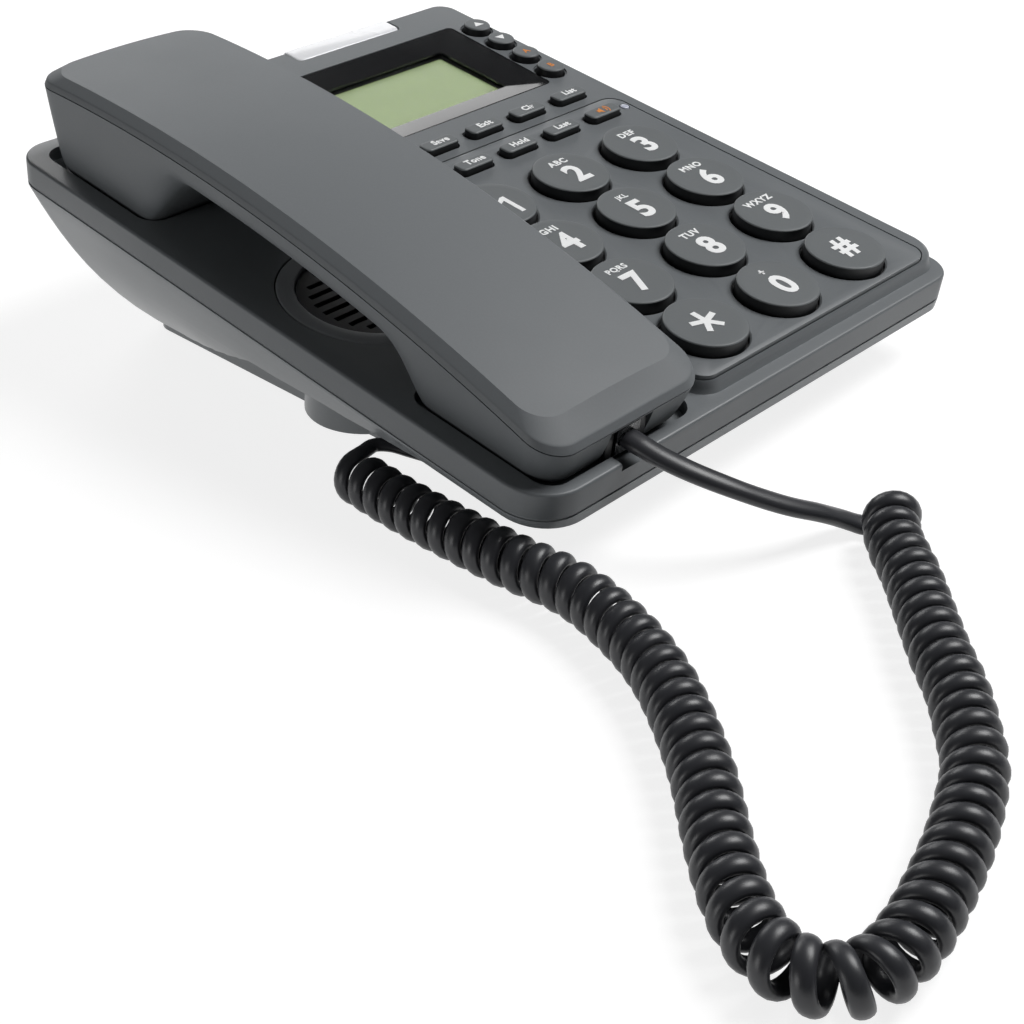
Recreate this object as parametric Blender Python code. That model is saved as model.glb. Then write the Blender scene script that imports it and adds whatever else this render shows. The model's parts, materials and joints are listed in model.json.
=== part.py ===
"""Corded desk telephone with a caller display and big round dial keys.

The base is moulded square to its sloping face, so its pieces are laid out in
a face frame: X to the right, Y up the slope, Z out of the face, with its
origin at the middle of the dial keys. Lengths are metres.
"""
import math

import bmesh
import bpy
import numpy as np
from mathutils import Matrix, Vector

# Fits and cuts
GAP = 0.0003            # running gap between neighbouring pieces
KEY_FIT = 0.00045       # clearance of a key in its hole
OVER = 0.0010           # how far a cutter runs past the wall it cuts

# Base
TILT = math.radians(8.2)
FACE_HEIGHT = 0.0340    # face above the desk at the middle of the dial
BASE_W = 0.1566
BASE_D = 0.1925
BASE_X = -0.0243        # middle of the base, seen from the dial
BASE_Y = 0.04275
FRONT_LEFT_R = 0.0120
FRONT_RIGHT_R = 0.0080
BACK_R = 0.0090
RIM_DROP = 0.0040       # tray level below the face
SEAM_DROP = 0.0105      # parting line of the two shells below the face
LIP_DROP = 0.0130       # where the side walls start to lean in
EDGE_R = 0.0014         # rounding of the rim
SHELL_WALL = 0.0028      # its top walls
SIDE_WALL = 0.0018       # its side walls
LEDGE_W = 0.0013        # ledge that an inset plate rests on

# Raised keypad plateau
PLATEAU_LEFT = -0.0444
PLATEAU_FRONT = -0.0479
PLATEAU_FOOT = 0.0029   # how far its walls spread toward the tray
PLATEAU_EDGE = 0.0010
PLATEAU_R = 0.0055
SIDE_INSET = 0.0006     # plateau wall inside the rim at the right and back

# Handset tray
TRAY_LEFT = -0.1010
POCKET_DEPTH = 0.0038
POCKET_W = 0.0472
POCKET_R = 0.0060
EAR_POCKET_D = 0.0465
EAR_POCKET_Y = 0.11125
MOUTH_POCKET_D = 0.0400
MOUTH_POCKET_Y = -0.0300

# Lower housing
WING_INSET_X = 0.0205   # lean of the side walls down to the desk
WING_INSET_BACK = 0.0195
WING_CORNER_R = 0.0170
BELLY_HEIGHT = 0.0160   # underside above the desk in front of its slope
BELLY_TURN_Y = 0.0400
BELLY_END_Y = 0.1070
STAND_CLEAR = 0.0015    # underside of the stand above the desk
STAND_INSET_X = 0.0191
STAND_FRONT_Y = -0.0300
STAND_BACK_Y = 0.1120
STAND_R = 0.0060
LOWER_WALL = 0.0025
STAND_FLOOR = 0.0045
DRUM_R = 0.0162

# Loudspeaker in the tray
SPEAKER_X = -0.0726
SPEAKER_Y = 0.0314
SPEAKER_RING_R = 0.0237
SPEAKER_RING_BORE_R = 0.0191
SPEAKER_RING_T = 0.0013
SPEAKER_COVER_DROP = 0.0009
SPEAKER_COVER_T = 0.0010
SPEAKER_R = 0.0140
SPEAKER_DEPTH = 0.0120
SLOT_W = 0.0016
SLOT_PITCH = 0.0036

# Keypad panel
PANEL_LEFT = -0.0440
PANEL_RIGHT = 0.0480
PANEL_FRONT = -0.0476
PANEL_BACK = 0.0624
PANEL_T = 0.0013
PANEL_R = 0.0048

# Dial keys
DIAL_PITCH_X = 0.0280
DIAL_PITCH_Y = 0.0231
DIAL_R = 0.0104
DIAL_RISE = 0.0029
DIAL_EDGE = 0.0004
DIAL_FLANGE = 0.0007
FLANGE_T = 0.0010
KEY_TRAVEL = 0.0015

# Function keys
BAR_W = 0.0105
BAR_D = 0.0040
BAR_RISE = 0.0020
BAR_EDGE = 0.0005
BAR_FIRST_X = -0.0157
BAR_PITCH = 0.0171
BAR_ROW_UPPER_Y = 0.0686
BAR_ROW_LOWER_Y = 0.0553
BAR_FLANGE = 0.0006
STUD_R = 0.0040
STUD_RISE = 0.0020
STUD_TOP_X = 0.0469
STUD_TOP_Y = 0.1170
STUD_PITCH = 0.0109
STUD_LEAN = 0.00065     # each lower round key sits this much further left

# Display
BEZEL_LEFT = -0.0410
BEZEL_RIGHT = 0.0413
BEZEL_RIGHT_LEAN = 0.0018
BEZEL_FRONT = 0.0790
BEZEL_BACK = 0.1230
BEZEL_R = 0.0015
BEZEL_T = 0.0013
BEZEL_SKIRT = 0.0045
WINDOW_LEFT = -0.0320
WINDOW_RIGHT = 0.0290
WINDOW_FRONT = 0.0865
WINDOW_BACK = 0.1140
WINDOW_DROP = 0.0021
WINDOW_T = 0.0010
LCD_T = 0.0030
LCD_MARGIN = 0.0010

# Lamps
LAMP_LEFT = -0.0113
LAMP_RIGHT = 0.0283
LAMP_D = 0.0074
LAMP_DEPTH = 0.0065
LAMP_R = 0.0020
LED_X = 0.0457
LED_Y = 0.0555
LED_R = 0.0013

# Handset
HANDSET_X = -0.0727
HANDSET_W = 0.0517
HANDSET_FRONT = -0.0508
HANDSET_BACK = 0.1330
HANDSET_R = 0.0080
COVER_TUMBLE = 0.0028   # how far the cover's side leans in to its crease
COVER_CROWN = 0.0009
HANDSET_FLOOR = 0.0072  # underside of the ear and mouth blocks below the face
BLOCK_TAPER = 0.0024
BLOCK_EDGE = 0.0022
GRIP_SIDE = 0.0048
GRIP_DEPTH = 0.0098
GRIP_TUCK = 0.0095
EAR_FRONT_Y = 0.0930    # from here back the ear block is full depth
MOUTH_BACK_Y = -0.0130
ARCH_RUN = 0.0180
HANDSET_WALL = 0.0022
HANDSET_LIFT = 0.1500
EAR_CAP_R = 0.0145
EAR_CAP_T = 0.0016
EAR_Y = 0.1095
MIC_CAP_W = 0.0180
MIC_CAP_D = 0.0080
MIC_CAP_T = 0.0014
MIC_Y = -0.0270
RECEIVER_R = 0.0135
RECEIVER_T = 0.0060

# Hook, feet, battery door, jacks
HOOK_W = 0.0110
HOOK_D = 0.0065
HOOK_Y = 0.0990
HOOK_LIFT = 0.0040
HOOK_FLANGE = 0.0010
FOOT_R = 0.0055
FOOT_T = 0.0012
FOOT_INSET = 0.0110
DOOR_W = 0.0620
DOOR_D = 0.0340
DOOR_T = 0.0016
DOOR_R = 0.0030
DOOR_Y = 0.0500
DOOR_SLIDE = 0.0040
JACK_W = 0.0130
JACK_H = 0.0120
JACK_DEPTH = 0.0140
JACK_WALL = 0.0012
PLUG_W = 0.0077
PLUG_H = 0.0066
PLUG_LENGTH = 0.0110
PLUG_PROUD = 0.0006
CORD_JACK_Y = -0.0060
CORD_JACK_HEIGHT = 0.0092
HANDSET_JACK_DROP = 0.0012
BOARD_W = 0.0880
BOARD_D = 0.1500
BOARD_T = 0.0016
BOARD_DROP = 0.0085

# Cord
CORD_D = 0.0030
COIL_R = 0.0050         # radius of the coil's centre line
COIL_TURNS = 62.5
COIL_POINTS = 8         # points of a curl
CORD_FLAT = 0.0028      # the flat cord's thickness, across the coil
CORD_WIDE = 0.0044      # and its width, along the coil
REST = 0.0001           # the cord's clearance to the desk
END_RUN = 0.0034        # straight end of the coil's tube
LEAST_GAP = 0.0004

BASE_LEFT = BASE_X - BASE_W / 2
BASE_RIGHT = BASE_X + BASE_W / 2
BASE_FRONT = BASE_Y - BASE_D / 2
BASE_BACK = BASE_Y + BASE_D / 2
SIN, COS = math.sin(TILT), math.cos(TILT)


def leveled(y, z):
    """Face frame to a level frame whose height starts at the desk."""
    return y * COS - z * SIN, y * SIN + z * COS + FACE_HEIGHT


def faced(y, height):
    """Level frame back to the face frame."""
    z = height - FACE_HEIGHT
    return y * COS + z * SIN, z * COS - y * SIN


MIDDLE_Y = (leveled(BASE_FRONT, -RIM_DROP - EDGE_R)[0] + leveled(BASE_BACK, -LIP_DROP)[0]) / 2
LEVEL = Matrix.Translation((-BASE_X, -MIDDLE_Y, 0))
FACE = LEVEL @ Matrix.Translation((0, 0, FACE_HEIGHT)) @ Matrix.Rotation(TILT, 4, "X")

for old in list(bpy.data.objects):
    bpy.data.objects.remove(old)


# Helpers: a shape is a pair of lists, points and faces
def join(shapes):
    points, faces = [], []
    for more_points, more_faces in shapes:
        start = len(points)
        points += more_points
        faces += [tuple(i + start for i in face) for face in more_faces]
    return points, faces


def bridged(rings, ends=True):
    """Bridge rings of one count; close both ends, or close round to the start."""
    count = len(rings[0])
    points = [tuple(p) for ring in rings for p in ring]
    faces = []
    for k in range(len(rings) if not ends else len(rings) - 1):
        a, b = k * count, (k + 1) % len(rings) * count
        for i in range(count):
            j = (i + 1) % count
            faces.append((a + i, a + j, b + j, b + i))
    if ends:
        faces.append(tuple(range(count)))
        faces.append(tuple(range(len(points) - count, len(points))))
    return points, faces


def rounded(x0, x1, y0, y1, radii, steps=4):
    """Outline from the front right corner round by the back; four radii."""
    if not isinstance(radii, tuple):
        radii = (radii,) * 4
    corners = ((x1, y0, -1, 1, 270), (x1, y1, -1, -1, 0), (x0, y1, 1, -1, 90), (x0, y0, 1, 1, 180))
    out = []
    for (x, y, sx, sy, start), radius in zip(corners, radii):
        if not radius:
            out.append((x, y))
            continue
        for k in range(steps + 1):
            a = math.radians(start + 90 * k / steps)
            out.append((x + sx * radius + radius * math.cos(a), y + sy * radius + radius * math.sin(a)))
    return out


def stacked(levels):
    """Levels are (outline, z) from below."""
    return bridged([[(x, y, z) for x, y in outline] for outline, z in levels])


def block(x0, x1, y0, y1, z0, z1, radius=0, steps=3):
    if not radius:
        outline = [(x1, y0), (x1, y1), (x0, y1), (x0, y0)]
    else:
        outline = rounded(x0, x1, y0, y1, radius, steps)
    return stacked([(outline, z0), (outline, z1)])


def turned(x, y, profile, count=24, closed=False):
    """Profile of (radius, z), about an axis along Z; closed runs round to its start."""
    rings = [[(x + r * math.cos(2 * math.pi * k / count), y + r * math.sin(2 * math.pi * k / count), z)
              for k in range(count)] for r, z in profile]
    return bridged(rings, ends=not closed)


def paint(name, hex_colour, roughness, metallic=0.0, alpha=1.0):
    material = bpy.data.materials.new(name)
    material.use_nodes = True
    shader = material.node_tree.nodes["Principled BSDF"]
    linear = []
    for k in (1, 3, 5):
        c = int(hex_colour[k:k + 2], 16) / 255
        linear.append(c / 12.92 if c <= 0.04045 else ((c + 0.055) / 1.055) ** 2.4)
    shader.inputs["Base Color"].default_value = (*linear, 1.0)
    shader.inputs["Roughness"].default_value = roughness
    shader.inputs["Metallic"].default_value = metallic
    shader.inputs["Alpha"].default_value = alpha
    material.diffuse_color = (*linear, alpha)
    return material


def piece(name, shape, material=None, centre=(0, 0, 0), frame=FACE, angle=32):
    """Make an object whose origin is at centre, given in its frame."""
    points, faces = shape
    bm = bmesh.new()
    verts = [bm.verts.new(Vector(p) - Vector(centre)) for p in points]
    for face in faces:
        bm.faces.new([verts[i] for i in face])
    bmesh.ops.recalc_face_normals(bm, faces=bm.faces)
    mesh = bpy.data.meshes.new(name)
    bm.to_mesh(mesh)
    bm.free()
    mesh.shade_smooth()
    mesh.set_sharp_from_angle(angle=math.radians(angle))
    thing = bpy.data.objects.new(name, mesh)
    bpy.context.scene.collection.objects.link(thing)
    thing.matrix_world = frame @ Matrix.Translation(centre)
    if material:
        mesh.materials.append(material)
    return thing


def boolean(target, shape, operation="DIFFERENCE", frame=FACE, name="cut", solver="EXACT"):
    """Leave a Boolean on target, worked by a hidden tool made from shape."""
    tool = piece(target.name + "_" + name, shape, frame=frame)
    tool.hide_render = True
    tool.display_type = "WIRE"
    step = target.modifiers.new(name, "BOOLEAN")
    step.operation = operation
    step.solver = solver
    step.object = tool
    return tool


GREY = paint("grey moulded ABS", "#6f7073", 0.42)
GREY_LOWER = paint("lower grey ABS", "#75767a", 0.45)
PANEL_GREY = paint("panel grey ABS", "#6a6b6e", 0.40)
KEY_GREY = paint("key grey silicone cap", "#66676b", 0.40)
DARK = paint("near black ABS", "#1c1d1f", 0.30)
GLOSS = paint("black acrylic window", "#20241f", 0.08)
LCD_GREEN = paint("LCD glass", "#a8b88e", 0.20)
LENS = paint("milky lens", "#e8ebf2", 0.25)
RED_LENS = paint("red lens", "#7a1d1a", 0.25)
BOARD_GREEN = paint("circuit board", "#2d5a36", 0.55)
STEEL = paint("speaker steel", "#8d8f92", 0.35, 0.9)
RUBBER = paint("black rubber", "#202022", 0.80)
CORD_GREY = paint("cord jacket PVC", "#434447", 0.38)
CLEAR = paint("clear polycarbonate", "#d9dcd8", 0.10, 0.0, 0.6)


# Upper shell
def base_outline(inset=0):
    return rounded(BASE_LEFT + inset, BASE_RIGHT - inset, BASE_FRONT + inset, BASE_BACK - inset,
                   (FRONT_RIGHT_R - inset, BACK_R - inset, BACK_R - inset, FRONT_LEFT_R - inset), 5)


PLATEAU_RIGHT = BASE_RIGHT - SIDE_INSET
PLATEAU_BACK = BASE_BACK - SIDE_INSET


def plateau_outline(spread=0, inset=0):
    """Spread moves only the walls that face the tray and the front."""
    return rounded(PLATEAU_LEFT - spread + inset, PLATEAU_RIGHT - inset,
                   PLATEAU_FRONT - spread + inset, PLATEAU_BACK - inset,
                   (FRONT_RIGHT_R - inset, BACK_R - inset, PLATEAU_R - inset, PLATEAU_R + spread - inset), 5)


def bezel_outline(inset=0):
    """Display bezel, whose right side leans."""
    out = []
    for x, y in rounded(BEZEL_LEFT + inset, BEZEL_RIGHT - inset, BEZEL_FRONT + inset, BEZEL_BACK - inset,
                        max(BEZEL_R - inset, 0.1 * BEZEL_R), 2):
        if x > BASE_X + BASE_W / 4:
            x -= BEZEL_RIGHT_LEAN * (BEZEL_BACK - y) / (BEZEL_BACK - BEZEL_FRONT)
        out.append((x, y))
    return out


def bar_outline(x, y, grow=0):
    return rounded(x - BAR_W / 2 - grow, x + BAR_W / 2 + grow, y - BAR_D / 2 - grow, y + BAR_D / 2 + grow,
                   BAR_D / 2 + grow, 5)


bar_places = {(row, i): (BAR_FIRST_X + i * BAR_PITCH, y)
              for row, y in (("upper", BAR_ROW_UPPER_Y), ("lower", BAR_ROW_LOWER_Y)) for i in range(4)}
stud_places = [(STUD_TOP_X - i * STUD_LEAN, STUD_TOP_Y - i * STUD_PITCH) for i in range(4)]
dial_places = [((column - 1) * DIAL_PITCH_X, (1.5 - row) * DIAL_PITCH_Y) for row in range(4) for column in range(3)]

tray_floor = -(HANDSET_FLOOR + GAP)
POCKET_FIT = 0.0006
POCKET_TAPER_SHARE = 0.85
half_pocket = HANDSET_W / 2 - POCKET_TAPER_SHARE * BLOCK_TAPER + POCKET_FIT
EAR_REACH_SHARE = 0.32   # how much of each arch still dips into its pocket
MOUTH_REACH_SHARE = 0.43
ear_pocket = (EAR_FRONT_Y - EAR_REACH_SHARE * ARCH_RUN, HANDSET_BACK + 2 * POCKET_FIT)
mouth_pocket = (HANDSET_FRONT + POCKET_FIT, MOUTH_BACK_Y + MOUTH_REACH_SHARE * ARCH_RUN)
pocket_r = HANDSET_R - BLOCK_TAPER

top = piece("base_top_shell", stacked([
    (base_outline(), -SEAM_DROP), (base_outline(), -RIM_DROP - EDGE_R),
    (base_outline(0.3 * EDGE_R), -RIM_DROP - 0.3 * EDGE_R), (base_outline(EDGE_R), -RIM_DROP)]), GREY)
boolean(top, stacked([
    (plateau_outline(PLATEAU_FOOT), -RIM_DROP - 2 * EDGE_R), (plateau_outline(PLATEAU_FOOT), -RIM_DROP),
    (plateau_outline(0.25 * PLATEAU_FOOT), -PLATEAU_EDGE),
    (plateau_outline(0, 0.3 * PLATEAU_EDGE), -0.3 * PLATEAU_EDGE),
    (plateau_outline(0, PLATEAU_EDGE), 0)]), "UNION", name="plateau")

lamp_front = PLATEAU_BACK - LAMP_D
hollow_top = -SHELL_WALL
hollows = [
    block(PLATEAU_LEFT + SIDE_WALL, PLATEAU_RIGHT - SIDE_WALL, PLATEAU_FRONT + SIDE_WALL,
          lamp_front - SIDE_WALL, -SEAM_DROP - OVER, hollow_top, PLATEAU_R - SIDE_WALL),
    block(BASE_LEFT + 2 * SHELL_WALL, PLATEAU_LEFT - PLATEAU_FOOT, mouth_pocket[1] + SHELL_WALL,
          ear_pocket[0] - SHELL_WALL, -SEAM_DROP - OVER, -RIM_DROP - SHELL_WALL, PLATEAU_R - SHELL_WALL),
]
boolean(top, join(hollows), name="hollow")

# The handset's two pockets, with the notch that its cord leaves by
CORD_NOTCH_W = 0.0100
CORD_NOTCH_DEPTH = 0.0020
pockets = [block(HANDSET_X - half_pocket, HANDSET_X + half_pocket, y0, y1, tray_floor, OVER - RIM_DROP, pocket_r, 4)
           for y0, y1 in (ear_pocket, mouth_pocket)]
boolean(top, join(pockets), name="pockets")
boolean(top, block(HANDSET_X - CORD_NOTCH_W / 2, HANDSET_X + CORD_NOTCH_W / 2, BASE_FRONT - OVER,
                   mouth_pocket[0] + OVER, -RIM_DROP - CORD_NOTCH_DEPTH, OVER - RIM_DROP), name="notch")

# Inset plates rest on ledges
plate_floor = -PANEL_T - GAP
ring_floor = -RIM_DROP - SPEAKER_RING_T - GAP
cover_flange_r = SPEAKER_RING_BORE_R + (SPEAKER_RING_R - SPEAKER_RING_BORE_R) / 2
below = -SHELL_WALL - OVER
insets = [
    stacked([(rounded(PANEL_LEFT + LEDGE_W, PANEL_RIGHT - LEDGE_W, PANEL_FRONT + LEDGE_W, PANEL_BACK - LEDGE_W,
                      PANEL_R - LEDGE_W), below),
             (rounded(PANEL_LEFT + LEDGE_W, PANEL_RIGHT - LEDGE_W, PANEL_FRONT + LEDGE_W, PANEL_BACK - LEDGE_W,
                      PANEL_R - LEDGE_W), plate_floor),
             (rounded(PANEL_LEFT - GAP, PANEL_RIGHT + GAP, PANEL_FRONT - GAP, PANEL_BACK + GAP,
                      PANEL_R + GAP), plate_floor),
             (rounded(PANEL_LEFT - GAP, PANEL_RIGHT + GAP, PANEL_FRONT - GAP, PANEL_BACK + GAP,
                      PANEL_R + GAP), OVER)]),
    stacked([(bezel_outline(LEDGE_W), below), (bezel_outline(LEDGE_W), -BEZEL_T - GAP),
             (bezel_outline(-GAP), -BEZEL_T - GAP), (bezel_outline(-GAP), OVER)]),
    turned(SPEAKER_X, SPEAKER_Y, [
        (cover_flange_r + GAP, -SEAM_DROP), (cover_flange_r + GAP, ring_floor),
        (SPEAKER_RING_R + GAP, ring_floor), (SPEAKER_RING_R + GAP, OVER - RIM_DROP)], 32),
]
boolean(top, join(insets), name="insets")

# Key holes in the plateau, the lamp's seat and the hook's slot
holes = [stacked([(bar_outline(x, y, KEY_FIT), below), (bar_outline(x, y, KEY_FIT), OVER)])
         for (row, i), (x, y) in bar_places.items() if row == "upper"]
holes += [turned(x, y, [(STUD_R + KEY_FIT, below), (STUD_R + KEY_FIT, OVER)], 16) for x, y in stud_places]
holes.append(block(HANDSET_X - HOOK_W / 2 - KEY_FIT, HANDSET_X + HOOK_W / 2 + KEY_FIT,
                   HOOK_Y - HOOK_D / 2 - KEY_FIT, HOOK_Y + HOOK_D / 2 + KEY_FIT,
                   -SEAM_DROP - OVER, tray_floor + OVER))
lamp_floor = -LAMP_DEPTH
holes.append(stacked([(rounded(LAMP_LEFT - GAP, LAMP_RIGHT + GAP, lamp_front - GAP, BASE_BACK + OVER,
                               (LAMP_R, 0, 0, LAMP_R), 4), z) for z in (lamp_floor - GAP, OVER)]))
boolean(top, join(holes), name="holes")


# Lower shell: leaning walls, a belly that slopes up to the front, a stand and a drum
def lip_height(y, drop):
    """Height, at a level y, of the plane that lies drop below the face."""
    return (y - drop * SIN) * math.tan(TILT) - drop * COS + FACE_HEIGHT


def wing(inset, top_z, floor_height):
    x0, x1 = BASE_LEFT + WING_INSET_X + inset, BASE_RIGHT - WING_INSET_X - inset
    y0 = leveled(BASE_FRONT, -LIP_DROP)[0] + inset
    y1 = leveled(BASE_BACK, -LIP_DROP)[0] - WING_INSET_BACK - inset
    foot = [(x, *faced(y, floor_height)) for x, y in
            rounded(x0, x1, y0, y1, (FRONT_RIGHT_R - inset, WING_CORNER_R - inset, WING_CORNER_R - inset,
                                     FRONT_LEFT_R - inset), 5)]
    lip = base_outline(inset)
    return bridged([foot, [(x, y, -LIP_DROP) for x, y in lip], [(x, y, top_z) for x, y in lip]])


def belly(raised):
    """What is cut away under the wings, across the whole width."""
    lip = LIP_DROP + GAP - raised
    y_front = leveled(BASE_FRONT, -LIP_DROP)[0] - OVER
    y_meet = lip * SIN + (BELLY_HEIGHT + raised + lip * COS - FACE_HEIGHT) / math.tan(TILT)
    profile = [(y_front, -OVER), (BELLY_END_Y, -OVER), (BELLY_END_Y, raised), (BELLY_TURN_Y, BELLY_HEIGHT + raised),
               (y_meet, BELLY_HEIGHT + raised), (y_front, lip_height(y_front, lip))]
    return bridged([[(x, y, z) for y, z in profile] for x in (BASE_LEFT - OVER, BASE_RIGHT + OVER)])


stand = (BASE_LEFT + STAND_INSET_X, BASE_RIGHT - STAND_INSET_X, STAND_FRONT_Y, STAND_BACK_Y)


def drum(radius, top_z, floor_height, count=28):
    circle = [(SPEAKER_X + radius * math.cos(2 * math.pi * k / count),
               SPEAKER_Y + radius * math.sin(2 * math.pi * k / count)) for k in range(count)]
    return bridged([[(x, y, (floor_height - FACE_HEIGHT - y * SIN) / COS) for x, y in circle],
                    [(x, y, top_z) for x, y in circle]])


DESK = LEVEL
seam = -SEAM_DROP - GAP
bottom = piece("base_bottom_shell", wing(0, seam, STAND_CLEAR), GREY_LOWER)
boolean(bottom, belly(0), frame=DESK, name="belly")
boolean(bottom, block(*stand, STAND_CLEAR, BELLY_HEIGHT + OVER, STAND_R, 4), "UNION", frame=DESK, name="stand")
boolean(bottom, drum(DRUM_R, -LIP_DROP + OVER, STAND_CLEAR), "UNION", name="drum")
inner = boolean(bottom, wing(LOWER_WALL, seam + OVER, STAND_FLOOR), name="room")
boolean(inner, belly(LOWER_WALL), frame=DESK, name="room_belly")
wells = boolean(bottom, block(stand[0] + LOWER_WALL, stand[1] - LOWER_WALL, stand[2] + LOWER_WALL,
                              stand[3] - LOWER_WALL, STAND_FLOOR, 2 * FACE_HEIGHT, STAND_R - LOWER_WALL, 3),
                frame=DESK, name="well")

speaker_floor = -SEAM_DROP - SPEAKER_DEPTH
jack_half = JACK_W / 2
cord_jack = (stand[0], stand[0] + JACK_DEPTH, CORD_JACK_Y - jack_half, CORD_JACK_Y + jack_half,
             STAND_FLOOR + GAP, 2 * CORD_JACK_HEIGHT - STAND_FLOOR - GAP)
line_jack_y = leveled(BASE_BACK, -LIP_DROP)[0] - WING_INSET_BACK + 2 * LOWER_WALL
line_jack = (BASE_X - jack_half, BASE_X + jack_half, line_jack_y - JACK_DEPTH, line_jack_y,
             BELLY_HEIGHT - JACK_H / 2, BELLY_HEIGHT + JACK_H / 2)
door_x = (BASE_X - DOOR_W / 2, BASE_X + DOOR_W / 2)
door_y = (DOOR_Y - DOOR_D / 2, DOOR_Y + DOOR_D / 2)
boolean(bottom, join([
    drum(DRUM_R - LOWER_WALL, -LIP_DROP, STAND_CLEAR + LOWER_WALL),
]), name="drum_room")
boolean(bottom, join([
    block(cord_jack[0] - OVER, stand[0] + LOWER_WALL + OVER, cord_jack[2] - GAP, cord_jack[3] + GAP,
          cord_jack[4] - GAP + GAP / 2, cord_jack[5] + GAP),
    block(line_jack[0] - GAP, line_jack[1] + GAP, line_jack[2], BASE_BACK + OVER,
          line_jack[4] - GAP, line_jack[5] + GAP),
    block(door_x[0] - GAP, door_x[1] + GAP, door_y[0] - GAP, door_y[1] + DOOR_SLIDE + GAP,
          -OVER, STAND_CLEAR + DOOR_T + GAP, DOOR_R),
]), frame=DESK, name="ports")


def jack(name, box, plug_y, plug_z, axis, reach):
    """A socket body with the blind slot that a small plug clicks into."""
    middle = [(box[k] + box[k + 1]) / 2 for k in (0, 2, 4)]
    body = piece(name, block(*box), DARK, middle, DESK)
    w, h = PLUG_W / 2 + GAP, PLUG_H / 2 + GAP
    if axis == "X":
        slot = block(box[0] - OVER, box[0] + reach, plug_y - w, plug_y + w, plug_z - h, plug_z + h)
    else:
        slot = block(plug_y - w, plug_y + w, box[3] - reach, box[3] + OVER, plug_z - h, plug_z + h)
    boolean(body, slot, frame=DESK, name="slot")
    return body


socket_reach = PLUG_LENGTH - PLUG_PROUD + GAP
cord_jack_h = (cord_jack[4] + cord_jack[5]) / 2
jack("cord_jack", cord_jack, CORD_JACK_Y, cord_jack_h, "X", socket_reach)
jack("line_jack", line_jack, BASE_X, BELLY_HEIGHT, "Y", socket_reach)

door_box = (*door_x, *door_y, STAND_CLEAR, STAND_CLEAR + DOOR_T)
piece("battery_door", block(*door_box, DOOR_R), GREY_LOWER,
      [(door_box[k] + door_box[k + 1]) / 2 for k in (0, 2, 4)], DESK)

for side, x in (("left", stand[0] + FOOT_INSET), ("right", stand[1] - FOOT_INSET)):
    for end, y in (("front", STAND_FRONT_Y + FOOT_INSET), ("back", STAND_BACK_Y - FOOT_INSET)):
        piece("foot_%s_%s" % (end, side), turned(x, y, [(FOOT_R - FOOT_T / 3, 0), (FOOT_R, FOOT_T / 3),
                                                         (FOOT_R, FOOT_T)], 20),
              RUBBER, (x, y, FOOT_T / 2), DESK)

# Loudspeaker under the tray: ring, slotted cover and driver
ring_top = -RIM_DROP
piece("speaker_ring", turned(SPEAKER_X, SPEAKER_Y, [
    (SPEAKER_RING_BORE_R, ring_top - SPEAKER_RING_T), (SPEAKER_RING_R, ring_top - SPEAKER_RING_T),
    (SPEAKER_RING_R, ring_top - 0.3 * SPEAKER_RING_T), (SPEAKER_RING_R - 0.3 * SPEAKER_RING_T, ring_top),
    (SPEAKER_RING_BORE_R + 0.3 * SPEAKER_RING_T, ring_top),
    (SPEAKER_RING_BORE_R, ring_top - 0.3 * SPEAKER_RING_T)], 32, closed=True),
    DARK, (SPEAKER_X, SPEAKER_Y, ring_top))
cover_top = ring_top - SPEAKER_COVER_DROP
cover_floor = ring_floor - SPEAKER_COVER_T
cover = piece("speaker_cover", turned(SPEAKER_X, SPEAKER_Y, [
    (cover_flange_r, cover_floor), (cover_flange_r, ring_floor + GAP / 2 - GAP),
    (SPEAKER_RING_BORE_R - GAP, ring_floor + GAP / 2 - GAP), (SPEAKER_RING_BORE_R - GAP, cover_top)], 36),
    DARK, (SPEAKER_X, SPEAKER_Y, cover_top))
slots = []
slot_rows = int((SPEAKER_RING_BORE_R - SLOT_PITCH) / SLOT_PITCH)
for k in range(-slot_rows, slot_rows + 1):
    y = SPEAKER_Y + k * SLOT_PITCH
    half = math.sqrt((SPEAKER_RING_BORE_R - 2 * SLOT_W) ** 2 - (k * SLOT_PITCH) ** 2)
    slots.append(block(SPEAKER_X - half, SPEAKER_X + half, y - SLOT_W / 2, y + SLOT_W / 2,
                       cover_floor - OVER, OVER + cover_top))
boolean(cover, join(slots), name="slots")
frame_top = cover_floor - GAP
piece("loudspeaker", turned(SPEAKER_X, SPEAKER_Y, [
    (0.55 * SPEAKER_R, speaker_floor), (0.6 * SPEAKER_R, speaker_floor + 0.4 * SPEAKER_DEPTH),
    (cover_flange_r - SPEAKER_COVER_T, frame_top - SPEAKER_COVER_T),
    (cover_flange_r - SPEAKER_COVER_T, frame_top)], 28), STEEL, (SPEAKER_X, SPEAKER_Y, frame_top))

# Keypad panel
panel = piece("keypad_panel", stacked([
    (rounded(PANEL_LEFT, PANEL_RIGHT, PANEL_FRONT, PANEL_BACK, PANEL_R, 4), -PANEL_T),
    (rounded(PANEL_LEFT, PANEL_RIGHT, PANEL_FRONT, PANEL_BACK, PANEL_R, 4), 0)]), PANEL_GREY)
panel_holes = [turned(x, y, [(DIAL_R + KEY_FIT, -PANEL_T - OVER), (DIAL_R + KEY_FIT, OVER)], 20)
               for x, y in dial_places]
panel_holes += [stacked([(bar_outline(x, y, KEY_FIT), -PANEL_T - OVER), (bar_outline(x, y, KEY_FIT), OVER)])
                for (row, i), (x, y) in bar_places.items() if row == "lower"]
panel_holes.append(turned(LED_X, LED_Y, [(LED_R + GAP, -PANEL_T - OVER), (LED_R + GAP, OVER)], 12))
boolean(panel, join(panel_holes), name="holes")
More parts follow.
